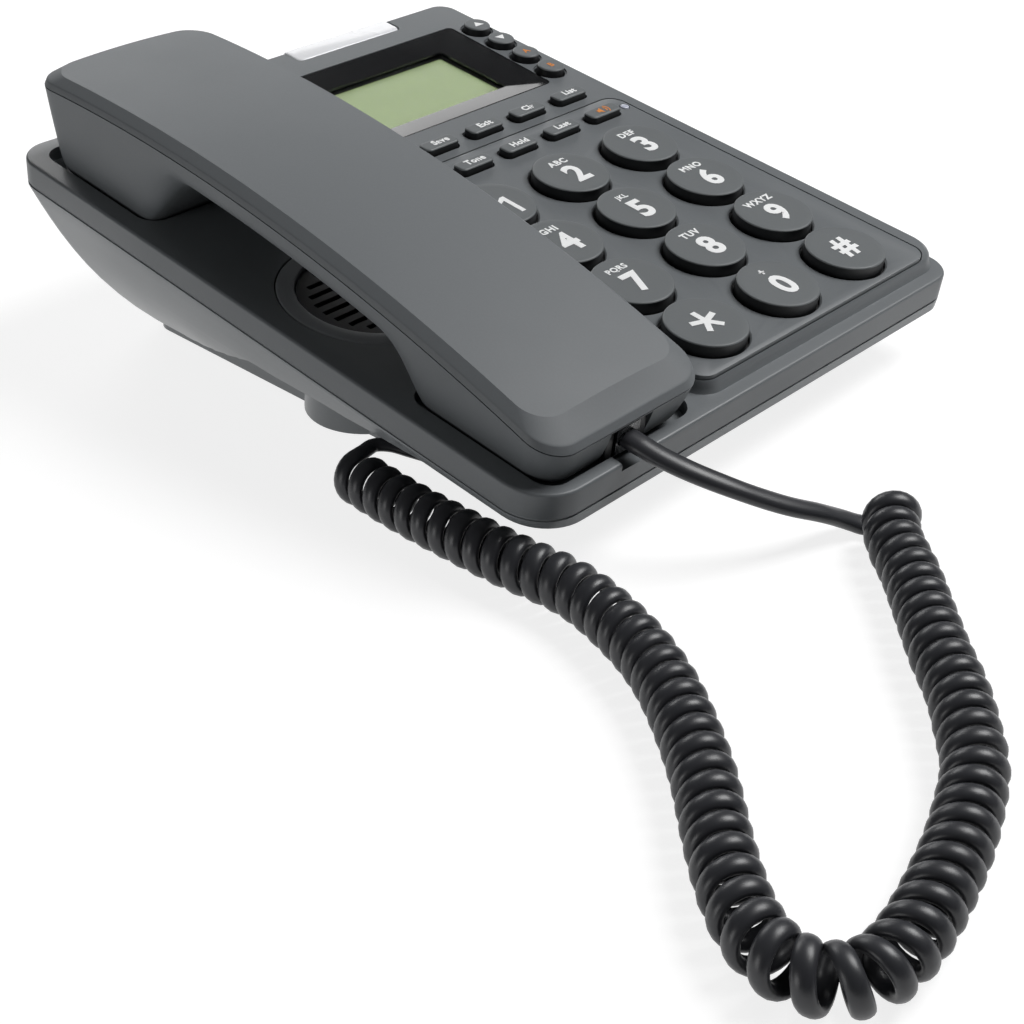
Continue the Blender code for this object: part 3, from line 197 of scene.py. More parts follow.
def bridged(rings, ends=True):
    """Joins rings of equal count, with both ends closed or with the last ring joined to the first."""
    count = len(rings[0])
    points = [tuple(p) for ring in rings for p in ring]
    faces = []
    for k in range(len(rings) - 1 if ends else len(rings)):
        a, b = k * count, (k + 1) % len(rings) * count
        for i in range(count):
            j = (i + 1) % count
            faces.append((a + i, a + j, b + j, b + i))
    if ends:
        faces += [tuple(range(count)), tuple(range(len(points) - count, len(points)))]
    return points, faces


def stacked(levels, ends=True):
    """Solid through flat outlines, each at its height."""
    return bridged([[(x, y, z) for x, y in outline] for outline, z in levels], ends)


def corner_arc(x, y, radius, start, steps):
    """Quarter round about a centre, from the start angle in degrees."""
    return [(x + radius * math.cos(a), y + radius * math.sin(a))
            for a in (math.radians(start + 90 * k / steps) for k in range(steps + 1))]


def four_cornered(x0, x1, y0, y1, radii, steps=12):
    """Rounded outline with its own radius at front right, back right, back left and front left."""
    out = []
    corners = ((x1, y0, -1, 1, 270), (x1, y1, -1, -1, 0), (x0, y1, 1, -1, 90), (x0, y0, 1, 1, 180))
    for (x, y, sx, sy, start), radius in zip(corners, radii):
        out += corner_arc(x + sx * radius, y + sy * radius, radius, start, steps) if radius else [(x, y)]
    return out


def rounded(x0, x1, y0, y1, radius, steps=8):
    return four_cornered(x0, x1, y0, y1, (radius,) * 4, steps)


def arc_rim(radius, rise, edge, steps=5):
    """Radius and height pairs of a side whose top edge is rounded."""
    return [(radius - edge + edge * math.cos(a), rise - edge + edge * math.sin(a))
            for a in (math.pi / 2 * k / steps for k in range(steps + 1))]


def block(x0, x1, y0, y1, z0, z1, radius=0.0, steps=6):
    outline = rounded(x0, x1, y0, y1, radius, steps) if radius else [(x1, y0), (x1, y1), (x0, y1), (x0, y0)]
    return stacked([(outline, z0), (outline, z1)])


def turned(x, y, profile, count=48, closed=False):
    """Solid of revolution from radius and height pairs."""
    return stacked([(circle(x, y, r, count), z) for r, z in profile], not closed)


def join(shapes):
    points, faces = [], []
    for more_points, more_faces in shapes:
        start = len(points)
        points += more_points
        faces += [tuple(i + start for i in face) for face in more_faces]
    return points, faces


def carved(thing, steps, angle=35):
    """Applies a run of Booleans, each (shape, operation, solver, matrix, what is cut from the tool first)."""
    tools = []

    def carve(target, shape, operation, solver, matrix=FACE, first=()):
        tool = rows_to_mesh("carving", *shape, matrix=matrix)
        tools.append(tool)
        for step in first:
            carve(tool, *step)
        step = target.modifiers.new("carve", "BOOLEAN")
        step.operation, step.solver, step.object = operation, solver, tool

    for step in steps:
        carve(thing, *step)
    result = plain_mesh(thing.name, thing)
    thing.modifiers.clear()
    for tool in tools:
        bpy.data.objects.remove(tool)
    thing.data = shaded(result, thing.data.materials[0], angle)
    return thing


def dressed(name, node, shape, finish, body="base", angle=35, steps=(), steps_angle=35):
    """A finer piece in place of one of the part's nodes, carved where it has openings."""
    thing = rows_to_mesh(name, *shape, material=mat(finish), angle=angle)
    if steps:
        carved(thing, steps, steps_angle)
    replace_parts(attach(thing, body), node)
    return thing


def circle(x, y, radius, count):
    return [(x + radius * math.cos(2 * math.pi * k / count), y + radius * math.sin(2 * math.pi * k / count))
            for k in range(count)]


def body_of_node(node):
    for body, nodes in frame["record"]["behaviour"]["bodies"].items():
        if node in nodes:
            return body
    raise RuntimeError("no body holds " + node)


def mat(name):
    return bpy.data.materials[name]


# Cord: the winding is worked out from listed route points, as in the part
COIL_R, COIL_TURNS, COIL_STEPS, CORD_D = 0.0050, 62.5, 24, 0.0030
REST, END_RUN, LEAD_GIRTH, GIRTH_START = 0.0001, 0.0034, 1.4, 6
BLEND_LOW, BLEND_HIGH, BEND_EASE = 0.0135, 0.0250, 0.35
STAND_LEFT, CORD_JACK_Y, CORD_JACK_HEIGHT, PLUG_PROUD = BASE_X - BASE_W / 2 + 0.0191, -0.0060, 0.0092, 0.0006
SOCKET_Z = -0.0012
PLUG_START = HANDSET_FRONT + 0.6 * BLOCK_TAPER - PLUG_PROUD
COIL_ROUTE = [
    (-0.1038, 0.0060), (-0.1044, -0.0019), (-0.1049, -0.0166), (-0.1041, -0.0434), (-0.1025, -0.0612),
    (-0.1068, -0.0798), (-0.1126, -0.0934), (-0.1205, -0.1056), (-0.1297, -0.1175), (-0.1385, -0.1270),
    (-0.1458, -0.1354), (-0.1520, -0.1438), (-0.1554, -0.1516), (-0.1553, -0.1583), (-0.1520, -0.1639),
    (-0.1463, -0.1666), (-0.1385, -0.1665), (-0.1301, -0.1650), (-0.1230, -0.1631), (-0.1129, -0.1601),
    (-0.1049, -0.1568), (-0.0984, -0.1540), (-0.0923, -0.1508), (-0.0875, -0.1463), (-0.0812, -0.1411),
    (-0.0759, -0.1361), (-0.0707, -0.1298), (-0.0643, -0.1233), (-0.0560, -0.1149), (-0.0487, -0.1075),
    (-0.0449, -0.1024), (-0.0405, -0.0978), (-0.0331, -0.0926)]
LEAD_ROUTE = [
    (-0.0712, -0.0580, 0.0233), (-0.0682, -0.0640, 0.0208), (-0.0635, -0.0700, 0.0176),
    (-0.0579, -0.0747, 0.0140), (-0.0520, -0.0787, 0.0106), (-0.0454, -0.0818, 0.0072),
    (-0.0400, -0.0838, 0.0040)]
TAIL_ROUTE = [(-0.0895, -0.0048, 0.0098), (-0.0920, -0.0008, 0.0108), (-0.0942, 0.0036, 0.0115)]


def smooth_path(points, step):
    """Catmull-Rom curve through the points, read at an even step."""
    points = np.array(points, float)
    padded = np.vstack([2 * points[0] - points[1], points, 2 * points[-1] - points[-2]])
    t = np.linspace(0, 1, 60, endpoint=False)[:, None]
    fine = [b + 0.5 * ((c - a) * t + (2 * a - 5 * b + 4 * c - d) * t ** 2 + (3 * b - a - 3 * c + d) * t ** 3)
            for a, b, c, d in zip(padded, padded[1:], padded[2:], padded[3:])]
    fine = np.vstack(fine + [points[-1:]])
    run = np.concatenate([[0], np.cumsum(np.linalg.norm(np.diff(fine, axis=0), axis=1))])
    at = np.linspace(0, run[-1], max(2, round(run[-1] / step) + 1))
    return np.column_stack([np.interp(at, run, fine[:, k]) for k in range(fine.shape[1])])


def coil_line():
    """Points of the coil from its top end to its lowest, and the way outwards from its axis at each."""
    route = smooth_path(COIL_ROUTE, COIL_R / 10)
    soft = np.ones(15) / 15
    for _ in range(3):
        ends = np.vstack([np.linspace(2 * route[0] - route[7], route[0], 8)[:-1], route,
                          np.linspace(route[-1], 2 * route[-1] - route[-8], 8)[1:]])
        route = np.column_stack([np.convolve(ends[:, k], soft, "valid") for k in range(2)])
    step = np.linalg.norm(np.diff(route, axis=0), axis=1)
    run = np.concatenate([[0], np.cumsum(step)])
    along = np.gradient(route, run, axis=0)
    along /= np.linalg.norm(along, axis=1)[:, None]
    bend = np.linalg.norm(np.gradient(along, run, axis=0), axis=1)
    # The pitch opens on a bend, so that the curls keep their gap on its inner side
    density = np.clip(1 - BEND_EASE * COIL_R * bend, 0.8, 1)
    turns = np.concatenate([[0], np.cumsum((density[1:] + density[:-1]) / 2 * step)])
    turns *= COIL_TURNS / turns[-1]
    wanted = np.linspace(0, COIL_TURNS, round(COIL_TURNS * COIL_STEPS) + 1)
    place = np.column_stack([np.interp(wanted, turns, route[:, k]) for k in range(2)])
    ahead = np.column_stack([np.interp(wanted, turns, along[:, k]) for k in range(2)])
    ahead /= np.linalg.norm(ahead, axis=1)[:, None]
    angle = math.pi / 2 + 2 * math.pi * wanted
    out = np.column_stack([-ahead[:, 1] * np.cos(angle), ahead[:, 0] * np.cos(angle), np.sin(angle)])
    axis = np.column_stack([place, np.full(len(place), REST + CORD_D / 2 + COIL_R)])
    return axis + COIL_R * out, out


def cord_line():
    """The cord from the handset's plug to the base's: points, the way its thin side faces, and its girth."""
    coil, out = coil_line()
    # The coil ends at a curl's top and at its foot, where it runs level
    ways = [(coil[0] - coil[1]) * (1, 1, 0), (coil[-1] - coil[-2]) * (1, 1, 0)]
    top, low = [way / np.linalg.norm(way) for way in ways]
    start = np.array((HANDSET_X, *leveled(PLUG_START - GAP, SOCKET_Z)))
    end = np.array((STAND_LEFT - PLUG_PROUD - GAP, CORD_JACK_Y, CORD_JACK_HEIGHT))
    step = CORD_D / 3
    down_slope = np.array((0, -COS, -SIN))
    lead = smooth_path([start + END_RUN * down_slope, *LEAD_ROUTE, coil[-1] + 2 * END_RUN * low,
                        coil[-1] + END_RUN * low], step)
    tail = smooth_path([coil[0] + END_RUN * top, coil[0] + 2 * END_RUN * top, *TAIL_ROUTE[::-1],
                        end - np.array((END_RUN, 0, 0))], step)
    points = np.vstack([start[None], lead, coil[::-1], tail, end[None]])
    faces = np.vstack([np.tile((0, 0, -1.0), (len(lead) + 1, 1)), out[::-1],
                       np.tile((0, 0, 1.0), (len(tail) + 1, 1))])
    heading = np.gradient(points, axis=0)
    heading /= np.linalg.norm(heading, axis=1)[:, None]
    faces -= heading * np.sum(faces * heading, axis=1)[:, None]
    faces /= np.linalg.norm(faces, axis=1)[:, None]
    world = np.array([LEVEL @ Vector(p) for p in points])
    # The straight lead is thicker, narrows into the first curl and keeps off the desk there
    count = np.arange(len(points))
    girth = np.interp(count, [len(lead) - GIRTH_START, len(lead) + COIL_STEPS], [LEAD_GIRTH, 1.0])
    world[:, 2] += (girth - 1) * CORD_D / 2 * np.clip(count / len(lead), 0, 1)
    return world, faces, girth


def tree_with(name, inputs):
    """An empty geometry tree with its named inputs."""
    tree = bpy.data.node_groups.new(name, "GeometryNodeTree")
    tree.interface.new_socket("Geometry", in_out="OUTPUT", socket_type="NodeSocketGeometry")
    tree.interface.new_socket("Geometry", in_out="INPUT", socket_type="NodeSocketGeometry")
    for label, kind in inputs:
        tree.interface.new_socket(label, in_out="INPUT", socket_type=kind)
    return tree


def grown(name, mesh, tree, values, angle=35):
    """Runs a geometry tree on a mesh and keeps the plain result as a new object."""
    seed = bpy.data.objects.new(name + "_seed", mesh)
    bpy.context.scene.collection.objects.link(seed)
    step = seed.modifiers.new("grow", "NODES")
    step.node_group = tree
    for item in tree.interface.items_tree:
        if item.item_type == "SOCKET" and item.in_out == "INPUT" and item.name in values:
            step[item.identifier] = values[item.name]
    result = plain_mesh(name, seed)
    bpy.data.objects.remove(seed)
    return finished(name, result, None, angle)


def sweep_tree():
    """A flat oval swept along the points, its thin side facing the stored way."""
    tree = tree_with("cord sweep", [("Thickness", "NodeSocketFloat"), ("Width", "NodeSocketFloat"),
                                    ("Jacket", "NodeSocketMaterial")])
    given = add_node(tree, "NodeGroupInput").outputs
    line = add_node(tree, "GeometryNodeMeshToCurve", {"Mesh": given["Geometry"]})
    way = add_node(tree, "GeometryNodeInputNamedAttribute", {"Name": "thin_way"}, data_type="FLOAT_VECTOR")
    girth = add_node(tree, "GeometryNodeInputNamedAttribute", {"Name": "girth"}, data_type="FLOAT")
    faced_line = add_node(tree, "GeometryNodeSetCurveNormal",
                          {"Curve": line.outputs["Curve"], "Normal": way.outputs["Attribute"]}, mode="FREE")
    section = add_node(tree, "GeometryNodeCurvePrimitiveCircle", {"Resolution": 16, "Radius": 0.5})
    scale = add_node(tree, "ShaderNodeCombineXYZ", {"X": given["Thickness"], "Y": given["Width"], "Z": 1.0})
    oval = add_node(tree, "GeometryNodeTransform",
                    {"Geometry": section.outputs["Curve"], "Scale": scale.outputs["Vector"]})
    tube = add_node(tree, "GeometryNodeCurveToMesh",
                    {"Curve": faced_line.outputs["Curve"], "Scale": girth.outputs["Attribute"],
                     "Profile Curve": oval.outputs["Geometry"], "Fill Caps": True})
    real = add_node(tree, "GeometryNodeRealizeInstances", {"Geometry": tube.outputs["Mesh"]})
    coated = add_node(tree, "GeometryNodeSetMaterial",
                      {"Geometry": real.outputs["Geometry"], "Material": given["Jacket"]})
    add_node(tree, "NodeGroupOutput", {"Geometry": coated.outputs["Geometry"]})
    return tree


def make_cord(sizes):
    points, ways, girth = cord_line()
    mesh = bpy.data.meshes.new("cord path")
    mesh.from_pydata([tuple(p) for p in points], [(i, i + 1) for i in range(len(points) - 1)], [])
    stored = (("thin_way", "FLOAT_VECTOR", "vector", ways), ("girth", "FLOAT", "value", girth))
    for name, kind, key, values in stored:
        mesh.attributes.new(name, kind, "POINT").data.foreach_set(key, values.astype(np.float32).ravel())
    cord = grown("cord_whole", mesh, sweep_tree(), {"Thickness": sizes.cord_thick, "Width": sizes.cord_wide,
                                                    "Jacket": mat("satin PVC cord jacket")}, 80)
    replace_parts(cord, "cord_lead", "curly_cord", "cord_tail")
    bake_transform(cord)


# Keys and their print: each key has its name, its sign or word and its place on the face
LETTERS = {"1": "", "2": "ABC", "3": "DEF", "4": "GHI", "5": "JKL", "6": "MNO", "7": "PQRS", "8": "TUV",
           "9": "WXYZ", "star": "", "0": "+", "hash": ""}
DIALS = [(key, letters, ((i % 3 - 1) * DIAL_PITCH_X, (1.5 - i // 3) * DIAL_PITCH_Y))
         for i, (key, letters) in enumerate(LETTERS.items())]
BAR_ROWS = (("upper", 0.0686, {"store": "Save", "back": "Exit", "delete": "Clr", "menu": "List"}),
            ("lower", 0.0553, {"volume": "Tone", "flash": "Hold", "redial": "Last", "speaker": ""}))
BARS = [(row, key, word, (BAR_FIRST_X + i * BAR_PITCH, y))
        for row, y, keys in BAR_ROWS for i, (key, word) in enumerate(keys.items())]
STUDS = [(key, word, (STUD_TOP[0] - i * STUD_LEAN, STUD_TOP[1] - i * STUD_PITCH))
         for i, (key, word) in enumerate((("up", ""), ("down", ""), ("memory_1", "A"), ("memory_2", "B")))]
DIAL_EDGE, DIAL_FLANGE, DIAL_DISH, SMALL_EDGE, TOP_FACING = 0.0005, 0.0007, 0.00012, 0.0006, 0.35
DIGIT_SHIFT, LETTER_SHIFT, SIGN_SHIFT = (0.0008, -0.0010), (0.0006, 0.0057), (0.0002, 0.0002)
ONE_SHIFT, WORD_SHIFT, STUD_LETTER, INK_SINK = (0.0026, -0.0026), (0.0006, 0.0003), 0.0022, 0.00008
DIGIT_BOLD, HASH_BOLD, WORD_BOLD, STUD_BOLD = 0.036, 0.035, 0.040, 0.030
HASH_SHARE, PLUS_SHARE, LETTER_SPACING, WORD_SPACING = 0.97, 0.8, 1.15, 1.1
# Signs in shares of their height, or in metres where they stand alone
ONE_SHARES = [(0.14, -0.5), (0.14, 0.5), (-0.02, 0.5), (-0.24, 0.34), (-0.24, 0.19), (-0.03, 0.29),
              (-0.03, -0.5)]
ARM_SHARE, ARM_HALF_SHARE, NOTCH_SHARE = 0.52, 0.095, 1.7
HORN = [(-0.0021, -0.0006), (-0.0013, -0.0006), (-0.0003, -0.0014), (-0.0003, 0.0014), (-0.0013, 0.0006),
        (-0.0021, 0.0006)]
WAVES, WAVE_X, WAVE_W = (0.0010, 0.0019), 0.0001, 0.0004
ARROW_HALF, ARROW_FOOT, ARROW_TIP = 0.0017, 0.0011, 0.0013


def cap_shape(outline, ceiling, rise, edge, flange, dish=0.0):
    """A key cap over its flange; outline(grow) gives its plan, dish sinks its middle."""
    shelf = ceiling - GAP
    levels = [(flange, shelf - FLANGE_T), (flange, shelf), (0, shelf)]
    levels += [(r, z) for r, z in arc_rim(0, rise, edge)]
    rings = [[(x, y, z) for x, y in outline(grow)] for grow, z in levels]
    rim = np.array(rings[-1])
    middle = rim.mean(axis=0)
    for share in (0.85, 0.6, 0.3):
        rings.append([tuple(p) for p in middle + share * (rim - middle) - (0, 0, dish * (1 - share * share))])
    return bridged(rings)


def bar_outline(x, y, grow=0):
    return rounded(x - BAR_W / 2 - grow, x + BAR_W / 2 + grow, y - BAR_D / 2 - grow, y + BAR_D / 2 + grow,
                   BAR_R + grow, 10)


def key_cap(key, shape):
    """A cap with a grey top over near black sides, partly painted shade round the cap, in place of the part's
    key.
    """
    thing = rows_to_mesh("cap_" + key, *shape, material=mat("satin key cap, light grain"))
    thing.data.materials.append(mat("near black key side, painted shade"))
    up = FACE.to_3x3() @ Vector((0, 0, 1))
    for face in thing.data.polygons:
        # Side faces and the faces low on the cap, its flange in the gap too, take the near black: partly
        # painted shade round each key
        above = (FACE.inverted() @ face.center).z > BAR_RISE / 2
        face.material_index = 0 if above and face.normal.dot(up) > TOP_FACING else 1
    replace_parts(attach(thing, body_of_node("key_" + key)), "key_" + key)


def make_keys():
    """Dial keys, bars and round keys with finely rounded rims."""
    for key, _, (x, y) in DIALS:
        key_cap(key, cap_shape(lambda grow: circle(x, y, DIAL_R + grow, 72), -PANEL_T, DIAL_RISE, DIAL_EDGE,
                               DIAL_FLANGE, DIAL_DISH))
    for row, key, _, (x, y) in BARS:
        ceiling = -PANEL_T if row == "lower" else -SHELL_WALL
        key_cap(key, cap_shape(lambda grow: bar_outline(x, y, grow), ceiling, BAR_RISE, SMALL_EDGE,
                               SMALL_EDGE))
    for key, _, (x, y) in STUDS:
        key_cap(key, cap_shape(lambda grow: circle(x, y, STUD_R + grow, 40), -SHELL_WALL, STUD_RISE,
                               SMALL_EDGE, SMALL_EDGE))


def moved(points, place, scale=1.0):
    return [(place[0] + scale * x, place[1] + scale * y) for x, y in points]


def printed(name, text, size, place, z, material, body, bold, spacing=1.0):
    """Text as a thin layer on a face, its middle at the place, riding its body."""
    curve = bpy.data.curves.new(name, "FONT")
    curve.body, curve.size, curve.offset, curve.space_character = text, 1.0, bold, spacing
    curve.resolution_u = 4
    seed = bpy.data.objects.new(name, curve)
    bpy.context.scene.collection.objects.link(seed)
    flat = plain_mesh(name, seed)
    bpy.data.objects.remove(seed)
    co = np.array([v.co[:2] for v in flat.vertices])
    low, high = co.min(0), co.max(0)
    centred = (co - (low + high) / 2) * size / (high[1] - low[1])
    return inked(name, moved(centred, place), [tuple(p.vertices) for p in flat.polygons], z, material, body)


def around(face):
    return zip(face, face[1:] + face[:1])


def inked(name, places, faces, z, material, body):
    """A flat figure made into a thin closed layer of ink."""
    thick = bpy.context.scene.phone_sizes.print_t
    seen = {}
    index = [seen.setdefault((round(px, 7), round(py, 7)), len(seen)) for px, py in places]
    flat = [(*p, z) for p in seen]
    count = len(flat)
    tops = []
    for face in faces:
        face = list(dict.fromkeys(index[i] for i in face))
        turn = sum(flat[a][0] * flat[b][1] - flat[b][0] * flat[a][1] for a, b in around(face))
        if len(face) > 2 and turn:
            tops.append(face if turn > 0 else face[::-1])
    edges = {edge for face in tops for edge in around(face)}
    sides = [(a, b, b + count, a + count) for a, b in edges if (b, a) not in edges]
    mesh = bpy.data.meshes.new(name)
    mesh.from_pydata([FACE @ Vector(p) for p in flat + [(px, py, z + thick) for px, py, _ in flat]], [],
                     [[i + count for i in face] for face in tops] + [face[::-1] for face in tops] + sides)
    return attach(finished(name, mesh, material), body)


def sign(name, points, z, material, body):
    """A sign that is one polygon."""
    return inked(name, points, [tuple(range(len(points)))], z, material, body)


def star(size):
    """Five plain arms with blunt ends."""
    length, half = ARM_SHARE * size, ARM_HALF_SHARE * size
    out = []
    for arm in range(5):
        a, notch = math.radians(90 + 72 * arm), math.radians(126 + 72 * arm)
        c, n = math.cos(a), math.sin(a)
        out += [(length * c + side * half * n, length * n - side * half * c) for side in (1, -1)]
        out.append((NOTCH_SHARE * half * math.cos(notch), NOTCH_SHARE * half * math.sin(notch)))
    return out


def print_dial(key, letters, place, sizes, ink):
    """The digit or sign of a dial key, and its letters."""
    given = (DIAL_RISE - INK_SINK, ink, body_of_node("key_" + key))
    if key == "1":
        sign("digit_1", moved(ONE_SHARES, moved([ONE_SHIFT], place)[0], sizes.digit), *given)
    elif key == "star":
        sign("digit_star", moved(star(sizes.digit), moved([SIGN_SHIFT], place)[0]), *given)
    elif key == "hash":
        printed("digit_hash", "#", HASH_SHARE * sizes.digit, moved([SIGN_SHIFT], place)[0], *given, HASH_BOLD)
    else:
        printed("digit_" + key, key, sizes.digit, moved([DIGIT_SHIFT], place)[0], *given, DIGIT_BOLD)
    if letters:
        printed("letters_" + key, letters, sizes.letters * (PLUS_SHARE if letters == "+" else 1),
                moved([LETTER_SHIFT], place)[0], *given, WORD_BOLD, LETTER_SPACING)


def print_loudspeaker(place, ink):
    """A small horn with two waves on the speaker key."""
    body = body_of_node("key_speaker")
    sign("sign_speaker", moved(HORN, place), BAR_RISE, ink, body)
    turns = [math.radians(10 * k - 50) for k in range(11)]
    for n, radius in enumerate(WAVES):
        arc = [(WAVE_X + (radius + w) * math.cos(a), (radius + w) * math.sin(a))
               for w, side in ((0, turns), (WAVE_W, turns[::-1])) for a in side]
        sign("sign_wave_%d" % n, moved(arc, place), BAR_RISE, ink, body)


def make_print():
    """Digits, letters, function words and signs on the keys."""
    white, accent = mat("white key ink"), mat("orange key ink")
    sizes = bpy.context.scene.phone_sizes
    for key, letters, place in DIALS:
        print_dial(key, letters, place, sizes, white)
    for _, key, word, place in BARS:
        if word:
            printed("word_" + key, word, sizes.label, moved([WORD_SHIFT], place)[0], BAR_RISE, white,
                    body_of_node("key_" + key), WORD_BOLD, WORD_SPACING)
        else:
            print_loudspeaker(place, accent)
    for key, word, place in STUDS:
        body = body_of_node("key_" + key)
        if word:
            printed("word_" + key, word, STUD_LETTER, place, STUD_RISE, accent, body, STUD_BOLD)
        else:
            way = 1 if key == "up" else -1
            arrow = [(ARROW_HALF, -way * ARROW_FOOT), (0, way * ARROW_TIP), (-ARROW_HALF, -way * ARROW_FOOT)]
            sign("sign_" + key, moved(arrow, place), STUD_RISE, white, body)


# Handset: the part's levels, closer together and softened at each crease
HALF_W = HANDSET_W / 2
CORNER_STEPS, SIDE_STEPS, END_STEPS = 14, 90, 6


def bow(y):
    return SEAM_PEAK_Z - (y - SEAM_PEAK_Y) ** 2 / (2 * BOW_R)


def handset_plan():
    """Right half of the outline, from the front middle to the back middle."""
    x, y0, y1 = HALF_W - HANDSET_R, HANDSET_FRONT + HANDSET_R, HANDSET_BACK - HANDSET_R
    front = [(x * k / END_STEPS, HANDSET_FRONT) for k in range(END_STEPS)]
    side = [(HALF_W, y0 + (y1 - y0) * k / SIDE_STEPS) for k in range(1, SIDE_STEPS)]
    back = [(x * k / END_STEPS, HANDSET_BACK) for k in range(END_STEPS - 1, -1, -1)]
    return [*front, *corner_arc(x, y0, HANDSET_R, 270, CORNER_STEPS), *side,
            *corner_arc(x, y1, HANDSET_R, 0, CORNER_STEPS), *back]


PLAN = handset_plan()


def eased(share):
    share = min(max(share, 0.0), 1.0)
    return share * share * (3 - 2 * share)


def grip_share(y):
    """1 along the grip and 0 over the two blocks."""
    return min(eased((y - MOUTH_BACK_Y) / ARCH_RUN), eased((EAR_FRONT_Y - y) / ARCH_RUN))


def handset_ring(height, side, front, back):
    """One level of the handset; height and side inset are functions of y."""
    scale = (HANDSET_BACK - back - HANDSET_FRONT - front) / (HANDSET_BACK - HANDSET_FRONT)
    out = []
    for x, y in PLAN:
        y = HANDSET_FRONT + front + (y - HANDSET_FRONT) * scale
        out.append((x * (HALF_W - side(y)) / HALF_W, y, height(y)))
    return out


def softened(levels, reach=0.3, steps=5):
    """Rounds the inner corners of a run of levels, each a tuple of numbers."""
    levels = [np.array(level, float) for level in levels]
    out = [levels[0]]
    for before, here, after in zip(levels, levels[1:], levels[2:]):
        a, b = here + reach * (before - here), here + reach * (after - here)
        out += [(1 - t) ** 2 * a + 2 * t * (1 - t) * here + t ** 2 * b
                for t in (k / steps for k in range(steps + 1))]
    return out + [levels[-1]]


def handset_solid(rings, spine=False):
    """Bridges the levels; each end is closed across, but for one that has shrunk to a spine."""
    points, faces, rows = [], [], []
    for ring in rings:
        start = len(points)
        points += [(HANDSET_X + x, y, z) for x, y, z in ring]
        points += [(HANDSET_X - x, y, z) for x, y, z in ring[1:-1]]
        last = start + len(ring) - 1
        rows.append((list(range(start, last + 1)), [start, *range(last + 1, last + len(ring) - 1), last]))
    for (low_r, low_l), (high_r, high_l) in zip(rows, rows[1:]):
        for i in range(len(low_r) - 1):
            faces.append((low_r[i], low_r[i + 1], high_r[i + 1], high_r[i]))
            faces.append((low_l[i], high_l[i], high_l[i + 1], low_l[i + 1]))
    cap = 12
    for right, left in rows[:1] if spine else (rows[0], rows[-1]):
        faces += [(*right[cap::-1], *left[1:cap + 1]), (*right[-cap - 1:], *left[-2:-cap - 2:-1])]
        faces += [(right[i], right[i + 1], left[i + 1], left[i]) for i in range(cap, len(right) - cap - 1)]
    return points, faces


def cover_rings():
    levels = [(rise, lean, 0) for rise, lean in softened([(0.0, 0.0), (0.45, 0.15), (1.0, 1.0)], 0.12)]
    # From the crease the crowned top closes in rings on its spine
    levels += [(1, 1, t) for t in (0.12, 0.3, 0.5, 0.75, 1.0)]
    rings = [handset_ring(lambda y, rise=rise: bow(y) + rise * COVER_T,
                          lambda y, lean=lean, t=t: lean * COVER_TUMBLE + t * (HALF_W - lean * COVER_TUMBLE),
                          lean * COVER_FRONT_LEAN + t * HALF_W, lean * COVER_BACK_LEAN + t * HALF_W)
             for rise, lean, t in levels]
    edge = HALF_W - COVER_TUMBLE
    crowned = [[(x, y, z + COVER_CROWN * (1 - (x / edge) ** 2)) for x, y, z in ring] for ring in rings[-6:]]
    return rings[:-6] + crowned


def lower_rings(wall=0):
    """Levels of the shell from its seam down; a wall gives its hollow."""
    levels = softened([(0, 0, 0, 0, 0), (0.35, 0.35 * BLOCK_TAPER, GRIP_SIDE, 0.1 * GRIP_TUCK, 0),
                       (1, BLOCK_TAPER, 0.85 * GRIP_DEPTH, 0.5 * GRIP_TUCK, BLOCK_EDGE),
                       (1, BLOCK_TAPER + BLOCK_EDGE, GRIP_DEPTH, GRIP_TUCK, 0)], 0.4)
    rings = []
    for k, (share, block_inset, grip_depth, grip_inset, lift) in enumerate(levels):
        def height(y):
            top = bow(y) + (OVER if wall and not k else -GAP)
            g = grip_share(y)
            raised = wall * min(1, k / 8) if wall else 0
            return top - ((1 - g) * (share * (top + HANDSET_FLOOR) - lift) + g * grip_depth) + raised

        def side(y):
            g = grip_share(y)
            return (1 - g) * block_inset + g * grip_inset + wall
        rings.append(handset_ring(height, side, block_inset + wall, block_inset + wall))
    return rings


HANDSET_WALL, MIC_W, MIC_D, MIC_Y = 0.0022, 0.0180, 0.0080, -0.0270
JACK_WALL, JACK_DEPTH, PLUG_H = 0.0012, 0.0140, 0.0066
JACK_HALF = 0.0130 / 2 + GAP


def make_handset():
    """Bowed cover and the shell under it, with the cap and jack openings of the part."""
    finish = "grained grey ABS, handset"
    dressed("handset_cover_fine", "handset_cover", handset_solid(cover_rings(), True), finish, "handset", 12)
    floor, top = -HANDSET_FLOOR - OVER, HANDSET_WALL - HANDSET_FLOOR + OVER
    jack_back = HANDSET_FRONT + 0.6 * BLOCK_TAPER + JACK_DEPTH + GAP
    jack_h, mic_w, mic_d = PLUG_H / 2 + 0.7 * JACK_WALL + GAP, MIC_W / 2 + GAP, MIC_D / 2 + GAP
    ports = [turned(HANDSET_X, EAR_Y, [(EAR_CAP_R + GAP, floor), (EAR_CAP_R + GAP, top)], 64),
             block(HANDSET_X - mic_w, HANDSET_X + mic_w, MIC_Y - mic_d, MIC_Y + mic_d, floor, top,
                   MIC_D / 4 + GAP),
             block(HANDSET_X - JACK_HALF, HANDSET_X + JACK_HALF, HANDSET_FRONT - OVER, jack_back,
                   SOCKET_Z - jack_h, SOCKET_Z + jack_h)]
    dressed("handset_shell_fine", "handset_shell", handset_solid(lower_rings()), finish, "handset", 50,
            [(handset_solid(lower_rings(HANDSET_WALL)), "DIFFERENCE", "MANIFOLD"),
             (join(ports), "DIFFERENCE", "MANIFOLD")], 50)


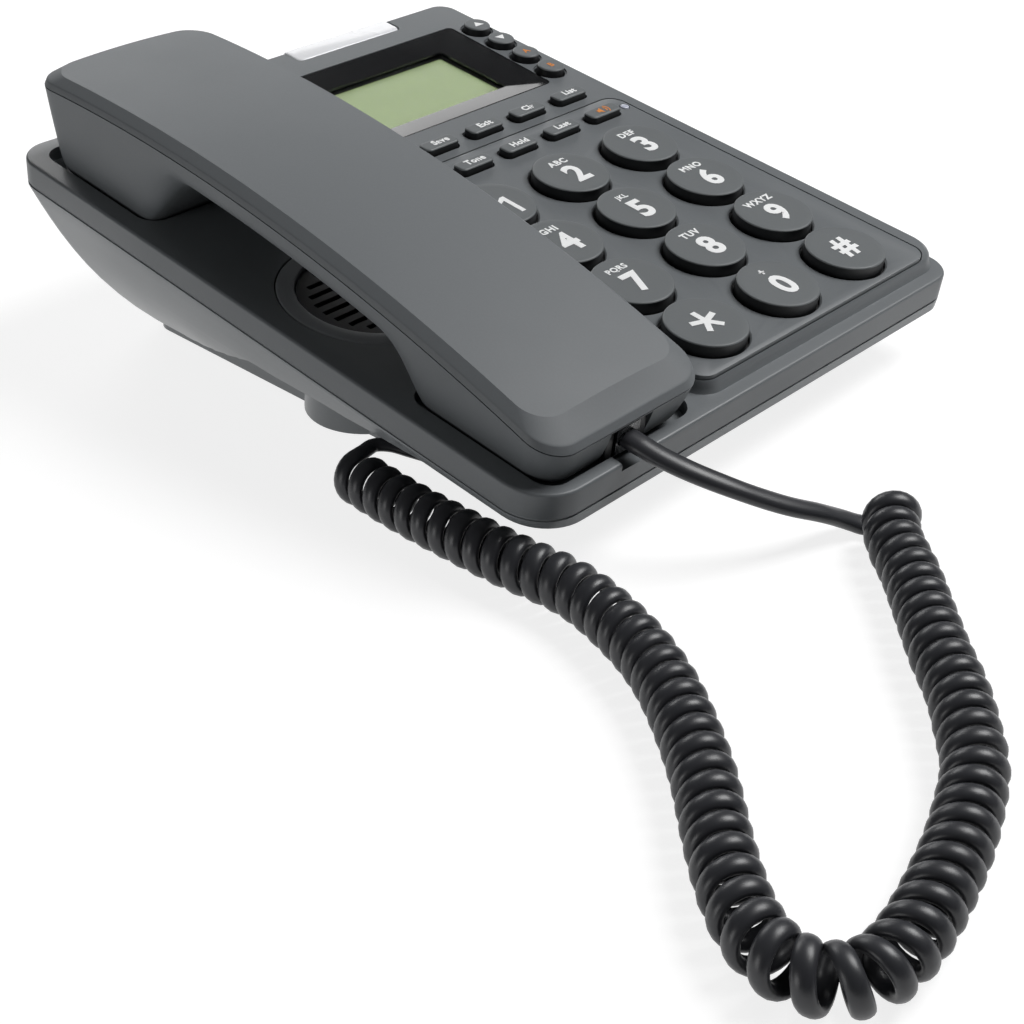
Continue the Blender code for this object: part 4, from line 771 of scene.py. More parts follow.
# Base: the part's upper and lower shells with rounder corners and rims
FRONT_LEFT_R, FRONT_RIGHT_R, BACK_R, BACK_RIGHT_R, SEAM_DROP = 0.0120, 0.0080, 0.0090, 0.0065, 0.0105
PLATEAU_LEFT, PLATEAU_FRONT, PLATEAU_FOOT, PLATEAU_R, SIDE_INSET = -0.0444, -0.0479, 0.0016, 0.0055, 0.0006
PLATEAU_EDGE, PLATEAU_SLOPE, RIM_R = 0.0010, 0.0014, 0.0008
BASE_LEFT, BASE_RIGHT = BASE_X - BASE_W / 2, BASE_X + BASE_W / 2
BASE_FRONT, BASE_BACK = BASE_Y - BASE_D / 2, BASE_Y + BASE_D / 2
PLATEAU_RIGHT, PLATEAU_BACK = BASE_RIGHT - SIDE_INSET, BASE_BACK - SIDE_INSET
PANEL = (-0.0440, 0.0480, -0.0476, 0.0624, 0.0048)
BEZEL, BEZEL_LEAN, BEZEL_R, BEZEL_T = (-0.0410, 0.0413, 0.0790, 0.1230), 0.0018, 0.0015, 0.0013
WINDOW = (-0.0320, 0.0290, 0.0865, 0.1140)
LAMP_LEFT, LAMP_RIGHT, LAMP_D, LAMP_DEPTH, LAMP_R = -0.0113, 0.0283, 0.0074, 0.0065, 0.0020
SPEAKER_X, SPEAKER_Y, RING_R, RING_BORE_R, RING_T = -0.0726, 0.0314, 0.0237, 0.0191, 0.0013
KEY_FIT, STUD_RING, LEDGE_W, SIDE_WALL, HOLE_EDGE = 0.00055, 0.0005, 0.0013, 0.0018, 0.0004
LENS_AT, LENS_R, POCKET_FIT, NOTCH_W, NOTCH_DEPTH = (0.0457, 0.0555), 0.0013, 0.0006, 0.0100, 0.0020
HOOK_HALF_W, HOOK_HALF_D, HOOK_Y, BASE_CREASE = 0.0055 + KEY_FIT, 0.00325 + KEY_FIT, 0.0990, 28


def base_outline(inset=0.0):
    return four_cornered(BASE_LEFT + inset, BASE_RIGHT - inset, BASE_FRONT + inset, BASE_BACK - inset,
                         (FRONT_RIGHT_R - inset, BACK_RIGHT_R - inset, BACK_R - inset, FRONT_LEFT_R - inset))


def plateau_outline(spread=0.0, inset=0.0):
    radii = (FRONT_RIGHT_R - inset, BACK_RIGHT_R - inset, PLATEAU_R - inset, PLATEAU_R + spread - inset)
    return four_cornered(PLATEAU_LEFT - spread + inset, PLATEAU_RIGHT - inset, PLATEAU_FRONT - spread + inset,
                         PLATEAU_BACK - inset, radii)


def bezel_outline(inset=0.0):
    out = []
    for x, y in rounded(BEZEL[0] + inset, BEZEL[1] - inset, BEZEL[2] + inset, BEZEL[3] - inset,
                        max(BEZEL_R - inset, 0.1 * BEZEL_R), 5):
        out.append((x - BEZEL_LEAN * (BEZEL[3] - y) / (BEZEL[3] - BEZEL[2]) if x > 0 else x, y))
    return out


def window_outline(grow=0.0):
    return rounded(WINDOW[0] - grow, WINDOW[1] + grow, WINDOW[2] - grow, WINDOW[3] + grow, BEZEL_R / 2, 5)


def make_base():
    """Upper shell: tray, plateau with a crisp slope, pockets, inset seats and holes."""
    rim = [(base_outline(), -SEAM_DROP)]
    rim += [(base_outline(-grow), z) for grow, z in arc_rim(0, -RIM_DROP, RIM_R)]
    raised = [(plateau_outline(share * PLATEAU_FOOT), z)
              for share, z in ((1, -RIM_DROP - 2 * EDGE_R), (1, -RIM_DROP), (0.72, -0.87 * RIM_DROP),
                               (0.5, -0.67 * RIM_DROP), (0.25, -1.4 * PLATEAU_EDGE), (0, -PLATEAU_EDGE))]
    # A narrow slope runs round the top, with a crisp line where it meets the face
    raised += [(plateau_outline(0, 0.2 * PLATEAU_EDGE), -0.8 * PLATEAU_EDGE),
               (plateau_outline(0, PLATEAU_SLOPE), 0)]
    half = HANDSET_W / 2 - 0.85 * BLOCK_TAPER + POCKET_FIT
    ear = (EAR_FRONT_Y - 0.32 * ARCH_RUN, HANDSET_BACK + 2 * POCKET_FIT)
    mouth = (HANDSET_FRONT + POCKET_FIT, MOUTH_BACK_Y + 0.43 * ARCH_RUN)
    lamp_front = PLATEAU_BACK - LAMP_D
    below, tray_floor = -SHELL_WALL - OVER, -(HANDSET_FLOOR + GAP)
    hollow = [block(PLATEAU_LEFT + SIDE_WALL, PLATEAU_RIGHT - SIDE_WALL, PLATEAU_FRONT + SIDE_WALL,
                    lamp_front - SIDE_WALL, -SEAM_DROP - OVER, -SHELL_WALL, PLATEAU_R - SIDE_WALL),
              block(BASE_LEFT + 2 * SHELL_WALL, PLATEAU_LEFT - PLATEAU_FOOT, mouth[1] + SHELL_WALL,
                    ear[0] - SHELL_WALL, -SEAM_DROP - OVER, -RIM_DROP - SHELL_WALL, PLATEAU_R - SHELL_WALL)]
    pockets = [block(HANDSET_X - half, HANDSET_X + half, y0, y1, tray_floor, OVER - RIM_DROP,
                     HANDSET_R - BLOCK_TAPER, 12) for y0, y1 in (ear, mouth)]
    notch = block(HANDSET_X - NOTCH_W / 2, HANDSET_X + NOTCH_W / 2, BASE_FRONT - OVER, mouth[0] + OVER,
                  -RIM_DROP - NOTCH_DEPTH, OVER - RIM_DROP)
    x0, x1, y0, y1, r = PANEL
    plate_floor, bezel_floor, ring_floor = -PANEL_T - GAP, -BEZEL_T - GAP, -RIM_DROP - RING_T - GAP
    flange_r, seat_r = (RING_R + RING_BORE_R) / 2 + GAP, RING_R + GAP
    ledge = rounded(x0 + LEDGE_W, x1 - LEDGE_W, y0 + LEDGE_W, y1 - LEDGE_W, r - LEDGE_W)
    seat = rounded(x0 - GAP, x1 + GAP, y0 - GAP, y1 + GAP, r + GAP)
    insets = [stacked([(ledge, below), (ledge, plate_floor), (seat, plate_floor), (seat, OVER)]),
              stacked([(bezel_outline(LEDGE_W), below), (bezel_outline(LEDGE_W), bezel_floor),
                       (bezel_outline(-GAP), bezel_floor), (bezel_outline(-GAP), OVER)]),
              turned(SPEAKER_X, SPEAKER_Y, [(flange_r, -SEAM_DROP), (flange_r, ring_floor),
                                            (seat_r, ring_floor), (seat_r, OVER - RIM_DROP)], 96)]
    holes = [stacked([(bar_outline(x, y, KEY_FIT), z) for z in (below, OVER)])
             for row, _, _, (x, y) in BARS if row == "upper"]
    holes += [turned(x, y, [(STUD_R + KEY_FIT, below), (STUD_R + KEY_FIT, -STUD_RING),
                            (STUD_R + 2 * STUD_RING, -STUD_RING), (STUD_R + 2 * STUD_RING, OVER)])
              for _, _, (x, y) in STUDS]
    holes.append(block(HANDSET_X - HOOK_HALF_W, HANDSET_X + HOOK_HALF_W, HOOK_Y - HOOK_HALF_D,
                       HOOK_Y + HOOK_HALF_D, -SEAM_DROP - OVER, tray_floor + OVER))
    lamp = four_cornered(LAMP_LEFT - GAP, LAMP_RIGHT + GAP, lamp_front - GAP, BASE_BACK + OVER,
                         (LAMP_R, 0, 0, LAMP_R), 8)
    holes.append(stacked([(lamp, -LAMP_DEPTH - GAP), (lamp, OVER)]))
    cuts = (join(hollow), join(pockets), notch, join(insets), join(holes))
    steps = [(stacked(raised), "UNION", "EXACT")] + [(shape, "DIFFERENCE", "EXACT") for shape in cuts]
    dressed("base_top_fine", "base_top_shell", stacked(rim), "grained grey ABS, body", steps=steps,
            steps_angle=BASE_CREASE)


# Lower shell
WING_X, WING_BACK, WING_R, WING_TOP = 0.0205, 0.0195, 0.0170, -0.0116
BELLY_HEIGHT, BELLY_TURN_Y, BELLY_END_Y = 0.0185, 0.0500, 0.1070
WING_SWELL, WING_LEVELS, SEAM_GROOVE = 2.8, 10, 0.0004
STAND_CLEAR, STAND_R, LOWER_WALL, STAND_FLOOR, DRUM_R = 0.0015, 0.0060, 0.0025, 0.0045, 0.0162
STAND = (BASE_LEFT + 0.0191, BASE_RIGHT - 0.0191, -0.0300, 0.1120)
LINE_JACK_HEIGHT, LINE_JACK_HALF = 0.0160, 0.0060 + GAP
DOOR, DOOR_SLIDE, DOOR_T, DOOR_R = (BASE_X - 0.0310, BASE_X + 0.0310, 0.0330, 0.0670), 0.0040, 0.0016, 0.0030


def faced(y, height):
    z = height - FACE_HEIGHT
    return y * COS + z * SIN, z * COS - y * SIN


def lip_height(y, drop):
    return (y - drop * SIN) * math.tan(TILT) - drop * COS + FACE_HEIGHT


def wing(inset, top_z, floor_height):
    """Side walls that swell outwards from the foot to the seam, and a straight leaning back."""
    y0 = leveled(BASE_FRONT, -LIP_DROP)[0] + inset
    y1 = leveled(BASE_BACK, -LIP_DROP)[0] - WING_BACK - inset
    foot = [(x, *faced(y, floor_height)) for x, y in
            four_cornered(BASE_LEFT + WING_X + inset, BASE_RIGHT - WING_X - inset, y0, y1,
                          (FRONT_RIGHT_R - inset, WING_R - inset, WING_R - inset, FRONT_LEFT_R - inset))]
    lip = base_outline(inset)
    rings = [foot]
    for t in (k / WING_LEVELS for k in range(1, WING_LEVELS + 1)):
        out = (2 * (1 - (1 - t) ** WING_SWELL) + t) / 3
        rings.append([(ax + (bx - ax) * out, ay + (by - ay) * t, az + (WING_TOP - az) * t)
                      for (ax, ay, az), (bx, by) in zip(foot, lip)])
    groove = base_outline(inset + SEAM_GROOVE)
    for outline, z in ((lip, top_z - SEAM_GROOVE), (groove, top_z - SEAM_GROOVE), (groove, top_z)):
        rings.append([(x, y, z) for x, y in outline])
    return bridged(rings)


def belly(raised):
    """What is cut away under the wings, across the whole width, in the level frame."""
    lip = LIP_DROP + GAP - raised
    height = BELLY_HEIGHT + raised
    y_front = leveled(BASE_FRONT, -LIP_DROP)[0] - OVER
    y_meet = lip * SIN + (height + lip * COS - FACE_HEIGHT) / math.tan(TILT)
    profile = [(y_front, -OVER), (BELLY_END_Y, -OVER), (BELLY_END_Y, raised), (BELLY_TURN_Y, height),
               (y_meet, height), (y_front, lip_height(y_front, lip))]
    return bridged([[(x, y, z) for y, z in profile] for x in (BASE_LEFT - OVER, BASE_RIGHT + OVER)])


def drum(radius, top_z, floor_height):
    plan = circle(SPEAKER_X, SPEAKER_Y, radius, 72)
    return bridged([[(x, y, (floor_height - FACE_HEIGHT - y * SIN) / COS) for x, y in plan],
                    [(x, y, top_z) for x, y in plan]])


def make_lower():
    """Lower shell: leaning walls, the belly, the stand and the speaker's drum."""
    seam = -SEAM_DROP - GAP
    x0, x1, y0, y1 = STAND
    well = block(x0 + LOWER_WALL, x1 - LOWER_WALL, y0 + LOWER_WALL, y1 - LOWER_WALL, STAND_FLOOR,
                 2 * FACE_HEIGHT, STAND_R - LOWER_WALL)
    line_y = leveled(BASE_BACK, -LIP_DROP)[0] - WING_BACK + 2 * LOWER_WALL
    door_x0, door_x1, door_y0, door_y1 = DOOR
    ports = [block(x0 - OVER, x0 + LOWER_WALL + OVER, CORD_JACK_Y - JACK_HALF, CORD_JACK_Y + JACK_HALF,
                   STAND_FLOOR + GAP / 2, 2 * CORD_JACK_HEIGHT - STAND_FLOOR),
             block(BASE_X - JACK_HALF, BASE_X + JACK_HALF, line_y - JACK_DEPTH, BASE_BACK + OVER,
                   LINE_JACK_HEIGHT - LINE_JACK_HALF, LINE_JACK_HEIGHT + LINE_JACK_HALF),
             block(door_x0 - GAP, door_x1 + GAP, door_y0 - GAP, door_y1 + DOOR_SLIDE + GAP, -OVER,
                   STAND_CLEAR + DOOR_T + GAP, DOOR_R)]
    stand = block(*STAND, STAND_CLEAR, BELLY_HEIGHT + OVER, STAND_R, 12)
    room = (wing(LOWER_WALL, seam + OVER, STAND_FLOOR), "DIFFERENCE", "MANIFOLD", FACE,
            [(belly(LOWER_WALL), "DIFFERENCE", "MANIFOLD", LEVEL)])
    drum_room = drum(DRUM_R - LOWER_WALL, -LIP_DROP, STAND_CLEAR + LOWER_WALL)
    steps = [(belly(0), "DIFFERENCE", "MANIFOLD", LEVEL), (stand, "UNION", "MANIFOLD", LEVEL),
             (drum(DRUM_R, OVER - LIP_DROP, STAND_CLEAR), "UNION", "MANIFOLD"), room,
             (well, "DIFFERENCE", "MANIFOLD", LEVEL), (drum_room, "DIFFERENCE", "MANIFOLD"),
             (join(ports), "DIFFERENCE", "MANIFOLD", LEVEL)]
    dressed("base_bottom_fine", "base_bottom_shell", wing(0, seam, STAND_CLEAR),
            "grained grey ABS, lower shell", steps=steps, steps_angle=BASE_CREASE)


# Panel, display, lamps and speaker
WINDOW_SEAT, WINDOW_BORDER, WINDOW_T, BEZEL_FLOOR, BEZEL_SOFT = -0.0019, 0.0022, 0.0010, -0.0045, 0.00015
MASK_T, MASK_LIFT, MASK_OUT, MASK_IN, WINDOW_RISE = 0.00015, 0.00005, 0.0008, 0.0010, 0.0001
PANEL_EDGE, RIM_SOFT, LENS_DOME, LAMP_SOFT = 0.00025, 0.0004, 0.0004, 0.0006


def make_panel():
    """Keypad panel with round holes, each with a fine slope round it."""
    x0, x1, y0, y1, r = PANEL
    levels = [(0, -PANEL_T), (0, -PANEL_EDGE), (-0.3 * PANEL_EDGE, -0.3 * PANEL_EDGE), (-PANEL_EDGE, 0)]
    soft = DIAL_R + KEY_FIT + HOLE_EDGE
    hole = [(DIAL_R + KEY_FIT, -PANEL_T - OVER), (DIAL_R + KEY_FIT, -HOLE_EDGE), (soft, 0), (soft, OVER)]
    holes = [turned(x, y, hole, 72) for _, _, (x, y) in DIALS]
    holes += [stacked([(bar_outline(x, y, KEY_FIT), z) for z in (-PANEL_T - OVER, OVER)])
              for row, _, _, (x, y) in BARS if row == "lower"]
    holes.append(turned(*LENS_AT, [(LENS_R + GAP, -PANEL_T - OVER), (LENS_R + GAP, OVER)], 32))
    plate = stacked([(rounded(x0 - g, x1 + g, y0 - g, y1 + g, r + g, 12), z) for g, z in levels])
    dressed("keypad_panel_fine", "keypad_panel", plate, "grained grey ABS, panel",
            steps=[(join(holes), "DIFFERENCE", "EXACT")])


def make_display():
    """Bezel with a dark inner step, the green display's mask and its clear window."""
    levels = [(bezel_outline(), -BEZEL_T), (bezel_outline(), -BEZEL_SOFT), (bezel_outline(BEZEL_SOFT), 0),
              (window_outline(RIM_SOFT), WINDOW_RISE - BEZEL_T), (window_outline(), -BEZEL_T),
              (window_outline(), WINDOW_SEAT), (window_outline(WINDOW_BORDER), WINDOW_SEAT),
              (window_outline(WINDOW_BORDER), BEZEL_FLOOR), (bezel_outline(LEDGE_W + GAP), BEZEL_FLOOR),
              (bezel_outline(LEDGE_W + GAP), -BEZEL_T)]
    dressed("display_bezel_fine", "display_bezel", stacked(levels, False), "polished near black ABS",
            angle=20)
    top = WINDOW_SEAT - GAP
    plan = window_outline(WINDOW_BORDER - GAP)
    pane = stacked([(plan, top - WINDOW_T), (plan, top)])
    dressed("display_pane", "display_window", pane, "clear acrylic window")
    low = top - WINDOW_T - GAP + MASK_LIFT
    outer, inner = window_outline(MASK_OUT), window_outline(-MASK_IN)
    mask = rows_to_mesh("display_mask", *stacked([(outer, low), (outer, low + MASK_T), (inner, low + MASK_T),
                                                  (inner, low)], False), material=mat("matt black mask"))
    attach(mask, "base")


def make_lamp():
    """Ringing lamp with a soft rim, and the small status lens."""
    soft = LAMP_SOFT
    levels = ((0, -LAMP_DEPTH), (0, -soft), (soft / 6, -soft / 2), (soft / 2, -soft / 6), (soft, 0))
    plans = [(four_cornered(LAMP_LEFT + d, LAMP_RIGHT - d, PLATEAU_BACK - LAMP_D + d, PLATEAU_BACK - d,
                            (LAMP_R, LAMP_R / 4, LAMP_R / 4, LAMP_R), 10), z) for d, z in levels]
    dressed("ring_lamp_fine", "ring_lamp", stacked(plans), "milky lamp lens")
    dome = [(LENS_R * math.cos(a), LENS_DOME * math.sin(a)) for a in (math.pi / 12 * k for k in range(6))]
    lens = turned(*LENS_AT, [(LENS_R, -PANEL_T)] + dome, 32)
    dressed("status_lens_fine", "status_lens", lens, "pale status lens")


def make_speaker():
    """Speaker ring, turned with soft rims."""
    top = -RIM_DROP
    inner = [(-r, z) for r, z in arc_rim(-RING_BORE_R, top, RIM_SOFT, 4)[::-1]]
    outer = arc_rim(RING_R, top, RIM_SOFT, 4)
    profile = [(RING_BORE_R, top - RING_T), (RING_R, top - RING_T), *outer, *inner]
    dressed("speaker_ring_fine", "speaker_ring", turned(SPEAKER_X, SPEAKER_Y, profile, 96, True),
            "satin grey ABS, speaker ring")


# Materials: colour (its property or hex), roughness, grain in mm, relief, then mottle, coat and patch in mm
FINISHES = {
    # Soft even sheen with a fine sparkle, as the large moulded faces have
    "grained grey ABS, handset": ("body", 0.54, 0.55, 0.30),
    "grained grey ABS, body": ("body", 0.42, 0.50, 0.22),
    "grained grey ABS, panel": ("body", 0.42, 0.50, 0.20),
    # Smoother, with a lighter grey that is partly painted light for the floor's bright bounce onto the
    # leaning side walls, which carry a long soft gradient
    "grained grey ABS, lower shell": ("lower", 0.32, 0.60, 0.10),
    # A touch darker than the panel, so the caps read as separate mouldings
    "satin key cap, light grain": ("keys", 0.48, 0.45, 0.15),
    # Near black on the cap sides and on the flange in the gap: a dark-sided moulding, and painted shade for
    # the gap and shadow round each cap
    "near black key side, painted shade": ("#161719", 0.45, 0.45, 0.10),
    # Flat opaque print that stays readable at a low angle
    "white key ink": ("print_white", 0.55, 0.30, 0.05, 0.01),
    "orange key ink": ("accent", 0.55, 0.30, 0.05, 0.02),
    # Clean dark reflections on the bezel's slopes
    "polished near black ABS": ("bezel", 0.20, 0.80, 0.02, 0.03, 0.3),
    # Dull black, so that what is deep in the object stays in the dark
    "satin black ABS": ("bezel", 0.38, 0.50, 0.15),
    # Lighter grey than the body: painted light that lifts the ring out of the shade it lies in under the
    # handset
    "satin grey ABS, speaker ring": ("ring", 0.35, 0.50, 0.12),
    # Swallows light round the display
    "matt black mask": ("#0e0f10", 0.70, 0.40, 0.10),
    # Diffuse green reflector with the faint glass gloss of an unlit display
    "green LCD glass": ("lcd", 0.30, 0.90, 0.0, 0.015, 0.2, 0),
    # Soft white body with a gentle shine
    "milky lamp lens": ("lamp", 0.25, 1.20, 0.02, 0.01, 0.3),
    "pale status lens": ("#c9ccdc", 0.20, 0.60, 0.02, 0.01, 0.3),
    # Rubbery satin with long highlights along each curl
    "satin PVC cord jacket": ("cord", 0.36, 0.35, 0.06, 0.03, 0.0, 12.0),
    # Dull and grippy underfoot
    "black rubber foot": ("#202022", 0.80, 0.40, 0.35),
    # Solder-masked board, seen only when opened
    "green circuit board": ("#2d5a36", 0.50, 0.90, 0.10),
    # Bright metal with the faint grain of pressed sheet
    "pressed speaker steel": ("#8d8f92", 0.35, 0.70, 0.08),
    # Clear parts: the window is clean and flat, the plugs look like thick smoky resin
    "clear acrylic window": ("#f2f4f2", 0.03, 0.90, 0.0, 0.005, 0, 0),
    "smoky polycarbonate plug": ("#6a6d70", 0.15, 0.90, 0.0, 0.005, 0, 0),
}
CLEAR = {"Transmission Weight": 1.0, "IOR": 1.49}
EXTRAS = {
    "milky lamp lens": {"Subsurface Weight": 0.3, "Subsurface Radius": (0.002, 0.002, 0.002)},
    "pressed speaker steel": {"Metallic": 1.0},
    "clear acrylic window": CLEAR,
    "smoky polycarbonate plug": CLEAR,
}
GRAIN_DEPTH, COAT_ROUGHNESS = 0.00004, 0.12


def plastic(name, tint, rough, grain_mm, relief, mottle=0.05, coat=0.0, patch_mm=30.0):
    """A fine grain that breaks up highlights, with slow patches of gloss if it has any."""
    material = bpy.data.materials.new(name)
    material.use_nodes = True
    tree = material.node_tree
    shader = tree.nodes["Principled BSDF"]
    where = add_node(tree, "ShaderNodeTexCoord").outputs["Object"]
    grain = add_node(tree, "ShaderNodeTexNoise", {"Vector": where, "Scale": 1000 / grain_mm, "Detail": 3.0,
                                                  "Roughness": 0.55})
    bump = add_node(tree, "ShaderNodeBump", {"Height": grain.outputs["Fac"], "Strength": relief,
                                             "Distance": GRAIN_DEPTH})
    set_inputs(shader, {"Roughness": rough, "Coat Weight": coat, "Coat Roughness": COAT_ROUGHNESS})
    if patch_mm:
        patch = add_node(tree, "ShaderNodeTexNoise", {"Vector": where, "Scale": 1000 / patch_mm,
                                                      "Detail": 2.0})
        gloss = add_node(tree, "ShaderNodeMapRange",
                         {"Value": patch.outputs["Fac"], "From Min": 0.3, "From Max": 0.7,
                          "To Min": rough - 0.03, "To Max": rough + 0.04})
        tree.links.new(gloss.outputs["Result"], shader.inputs["Roughness"])
    dark = (*(c * (1 - mottle) for c in tint[:3]), 1.0)
    light = (*(min(1.0, c * (1 + mottle)) for c in tint[:3]), 1.0)
    tone = add_node(tree, "ShaderNodeMix", {"Factor": grain.outputs["Fac"], 6: dark, 7: light},
                    data_type="RGBA")
    tree.links.new(tone.outputs[2], shader.inputs["Base Color"])
    tree.links.new(bump.outputs["Normal"], shader.inputs["Normal"])
    set_inputs(shader, EXTRAS.get(name, {}))
    material.diffuse_color = tint


def make_materials(colours):
    for name, (tint, *numbers) in FINISHES.items():
        plastic(name, linear(tint) if tint.startswith("#") else tuple(getattr(colours, tint)), *numbers)


NODE_FINISH = {
    "green circuit board": ("circuit_board",),
    "grained grey ABS, lower shell": ("battery_door",),
    "black rubber foot": ("foot_front_left", "foot_front_right", "foot_back_left", "foot_back_right"),
    "satin black ABS": ("cord_jack", "line_jack", "handset_jack", "hook_plunger", "ear_cap", "mic_cap",
                        "speaker_cover"),
    "smoky polycarbonate plug": ("base_plug", "handset_plug"),
    "pressed speaker steel": ("receiver", "loudspeaker"),
    "green LCD glass": ("display_module",),
}


def dress_nodes():
    """Gives every CAD node that stays in view, and each replaced one, a procedural finish."""
    chosen = {node: name for name, nodes in NODE_FINISH.items() for node in nodes}
    for node, thing in frame["nodes"].items():
        thing.data.materials.clear()
        thing.data.materials.append(mat(chosen.get(node, "grained grey ABS, body")))


# Stage: camera at the photograph's angle, floor and soft lights
CAMERA_AT, CAMERA_WAY = (-0.32442, -0.23196, 0.22299), (0.59652, 0.50262, -0.62573)
CAMERA_RIGHT, CAMERA_UP = (0.69526, -0.71310, 0.09001), (0.40096, 0.48874, 0.77483)
LENS, SENSOR = 61.96, 36.0
LIGHTS = (  # name, place, size, watts
    ("key softbox", (0.74, -0.36, 1.12), 0.7, 16.5),
    ("back softbox", (0.45, 1.25, 0.75), 0.6, 4.5),
    ("low softbox", (0.95, 1.00, 0.45), 0.5, 1.3),
    ("left softbox", (-1.10, 0.10, 0.25), 0.45, 2.0),
)
LIGHT_AIM = (-0.04, 0.02, 0.02)
FLOOR_HALF, FIBRE_SCALE, PAPER_ROUGH, FLOOR_GLOW, SKY_FILL = 4.0, 400.0, 0.9, 0.82, 0.05
FLOOR_SEEN, FLOOR_LIT = "#989898", "#b8b8b8"


def make_camera():
    data = bpy.data.cameras.new("camera")
    data.lens, data.sensor_width = LENS, SENSOR
    camera = bpy.data.objects.new("camera", data)
    bpy.context.scene.collection.objects.link(camera)
    turn = FACE.to_3x3() @ Matrix((CAMERA_RIGHT, CAMERA_UP, [-c for c in CAMERA_WAY])).transposed()
    camera.matrix_world = Matrix.Translation(FACE @ Vector(CAMERA_AT)) @ turn.normalized().to_4x4()
    bpy.context.scene.camera = camera


def ray_is(tree, *kinds):
    """1 for rays of the named kinds, else 0."""
    path = add_node(tree, "ShaderNodeLightPath")
    level = path.outputs[kinds[0]]
    for kind in kinds[1:]:
        either = add_node(tree, "ShaderNodeMath", {0: level, 1: path.outputs[kind]}, operation="MAXIMUM")
        level = either.outputs["Value"]
    return level


def make_floor():
    """White with a faint shadow where it is seen or mirrored, duller for the light that it throws back."""
    corners = [(FLOOR_HALF * x, FLOOR_HALF * y, 0) for x, y in ((-1, -1), (1, -1), (1, 1), (-1, 1))]
    floor = rows_to_mesh("floor", corners, [(0, 1, 2, 3)], Matrix.Identity(4))
    paper = bpy.data.materials.new("pale studio floor")
    paper.use_nodes = True
    tree = paper.node_tree
    shader = tree.nodes["Principled BSDF"]
    where = add_node(tree, "ShaderNodeTexCoord").outputs["Object"]
    fibre = add_node(tree, "ShaderNodeTexNoise", {"Vector": where, "Scale": FIBRE_SCALE})
    gloss = add_node(tree, "ShaderNodeMapRange",
                     {"Value": fibre.outputs["Fac"],
                      "To Min": PAPER_ROUGH - 0.05, "To Max": PAPER_ROUGH + 0.05})
    shown = ray_is(tree, "Is Camera Ray", "Is Glossy Ray", "Is Transmission Ray")
    tone = add_node(tree, "ShaderNodeMix", {"Factor": shown, 6: linear(FLOOR_LIT), 7: linear(FLOOR_SEEN)},
                    data_type="RGBA")
    glow = add_node(tree, "ShaderNodeMapRange", {"Value": shown, "To Max": FLOOR_GLOW})
    for output, name in ((gloss.outputs["Result"], "Roughness"), (tone.outputs[2], "Base Color"),
                         (glow.outputs["Result"], "Emission Strength")):
        tree.links.new(output, shader.inputs[name])
    set_inputs(shader, {"Emission Color": (1, 1, 1, 1)})
    floor.data.materials.append(paper)
    return floor


def make_stage():
    """Camera, white floor and surround, and soft lights."""
    make_camera()
    things = [make_floor()]
    for name, place, span, watts in LIGHTS:
        data = bpy.data.lights.new(name, "AREA")
        data.shape, data.size, data.energy = "SQUARE", span, watts
        light = bpy.data.objects.new(name, data)
        bpy.context.scene.collection.objects.link(light)
        light.location = place
        light.rotation_euler = (Vector(place) - LEVEL @ Vector(LIGHT_AIM)).to_track_quat("Z", "Y").to_euler()
        things.append(light)
    world = bpy.data.worlds.new("white surround")
    world.use_nodes = True
    bpy.context.scene.world = world
    tree = world.node_tree
    shown = ray_is(tree, "Is Camera Ray", "Is Transmission Ray")
    level = add_node(tree, "ShaderNodeMapRange", {"Value": shown, "To Min": SKY_FILL, "To Max": 1.0})
    back = tree.nodes["Background"]
    set_inputs(back, {"Color": (1, 1, 1, 1)})
    tree.links.new(level.outputs["Result"], back.inputs["Strength"])
    bpy.context.scene.view_settings.view_transform = "Standard"


# Operators, panel and registration
class PHONE_OT_stage(bpy.types.Operator):
    """Camera, pale floor, white surround and soft lights"""
    bl_idname = "phone.stage"
    bl_label = "Stage"

    def execute(self, context):
        make_stage()
        return {"FINISHED"}


class PHONE_OT_materials(bpy.types.Operator):
    """Procedural finishes for every piece"""
    bl_idname = "phone.materials"
    bl_label = "Materials"

    def execute(self, context):
        make_materials(context.scene.phone_colours)
        return {"FINISHED"}


class PHONE_OT_cord(bpy.types.Operator):
    """Flat oval curly cord from plug to plug, swept by a geometry tree"""
    bl_idname = "phone.cord"
    bl_label = "Cord"

    def execute(self, context):
        make_cord(context.scene.phone_sizes)
        return {"FINISHED"}


class PHONE_OT_handset(bpy.types.Operator):
    """Bowed cover and arched shell of the handset"""
    bl_idname = "phone.handset"
    bl_label = "Handset"

    def execute(self, context):
        make_handset()
        return {"FINISHED"}


class PHONE_OT_base(bpy.types.Operator):
    """Tray, plateau, pockets and seats of the base"""
    bl_idname = "phone.base"
    bl_label = "Upper shell"

    def execute(self, context):
        make_base()
        return {"FINISHED"}


class PHONE_OT_lower(bpy.types.Operator):
    """Leaning walls, stand and drum under the base"""
    bl_idname = "phone.lower"
    bl_label = "Lower shell"

    def execute(self, context):
        make_lower()
        return {"FINISHED"}


class PHONE_OT_keypad(bpy.types.Operator):
    """Panel with the round holes of the dial keys"""
    bl_idname = "phone.keypad"
    bl_label = "Keypad panel"

    def execute(self, context):
        make_panel()
        return {"FINISHED"}


class PHONE_OT_keys(bpy.types.Operator):
    """Dial keys, function bars and round keys"""
    bl_idname = "phone.keys"
    bl_label = "Keys"

    def execute(self, context):
        make_keys()
        return {"FINISHED"}


class PHONE_OT_key_print(bpy.types.Operator):
    """Digits, letters, function words and signs on the keys"""
    bl_idname = "phone.key_print"
    bl_label = "Key print"

    def execute(self, context):
        make_print()
        return {"FINISHED"}


class PHONE_OT_display(bpy.types.Operator):
    """Bezel, mask and clear window over the display"""
    bl_idname = "phone.display"
    bl_label = "Display"

    def execute(self, context):
        make_display()
        return {"FINISHED"}


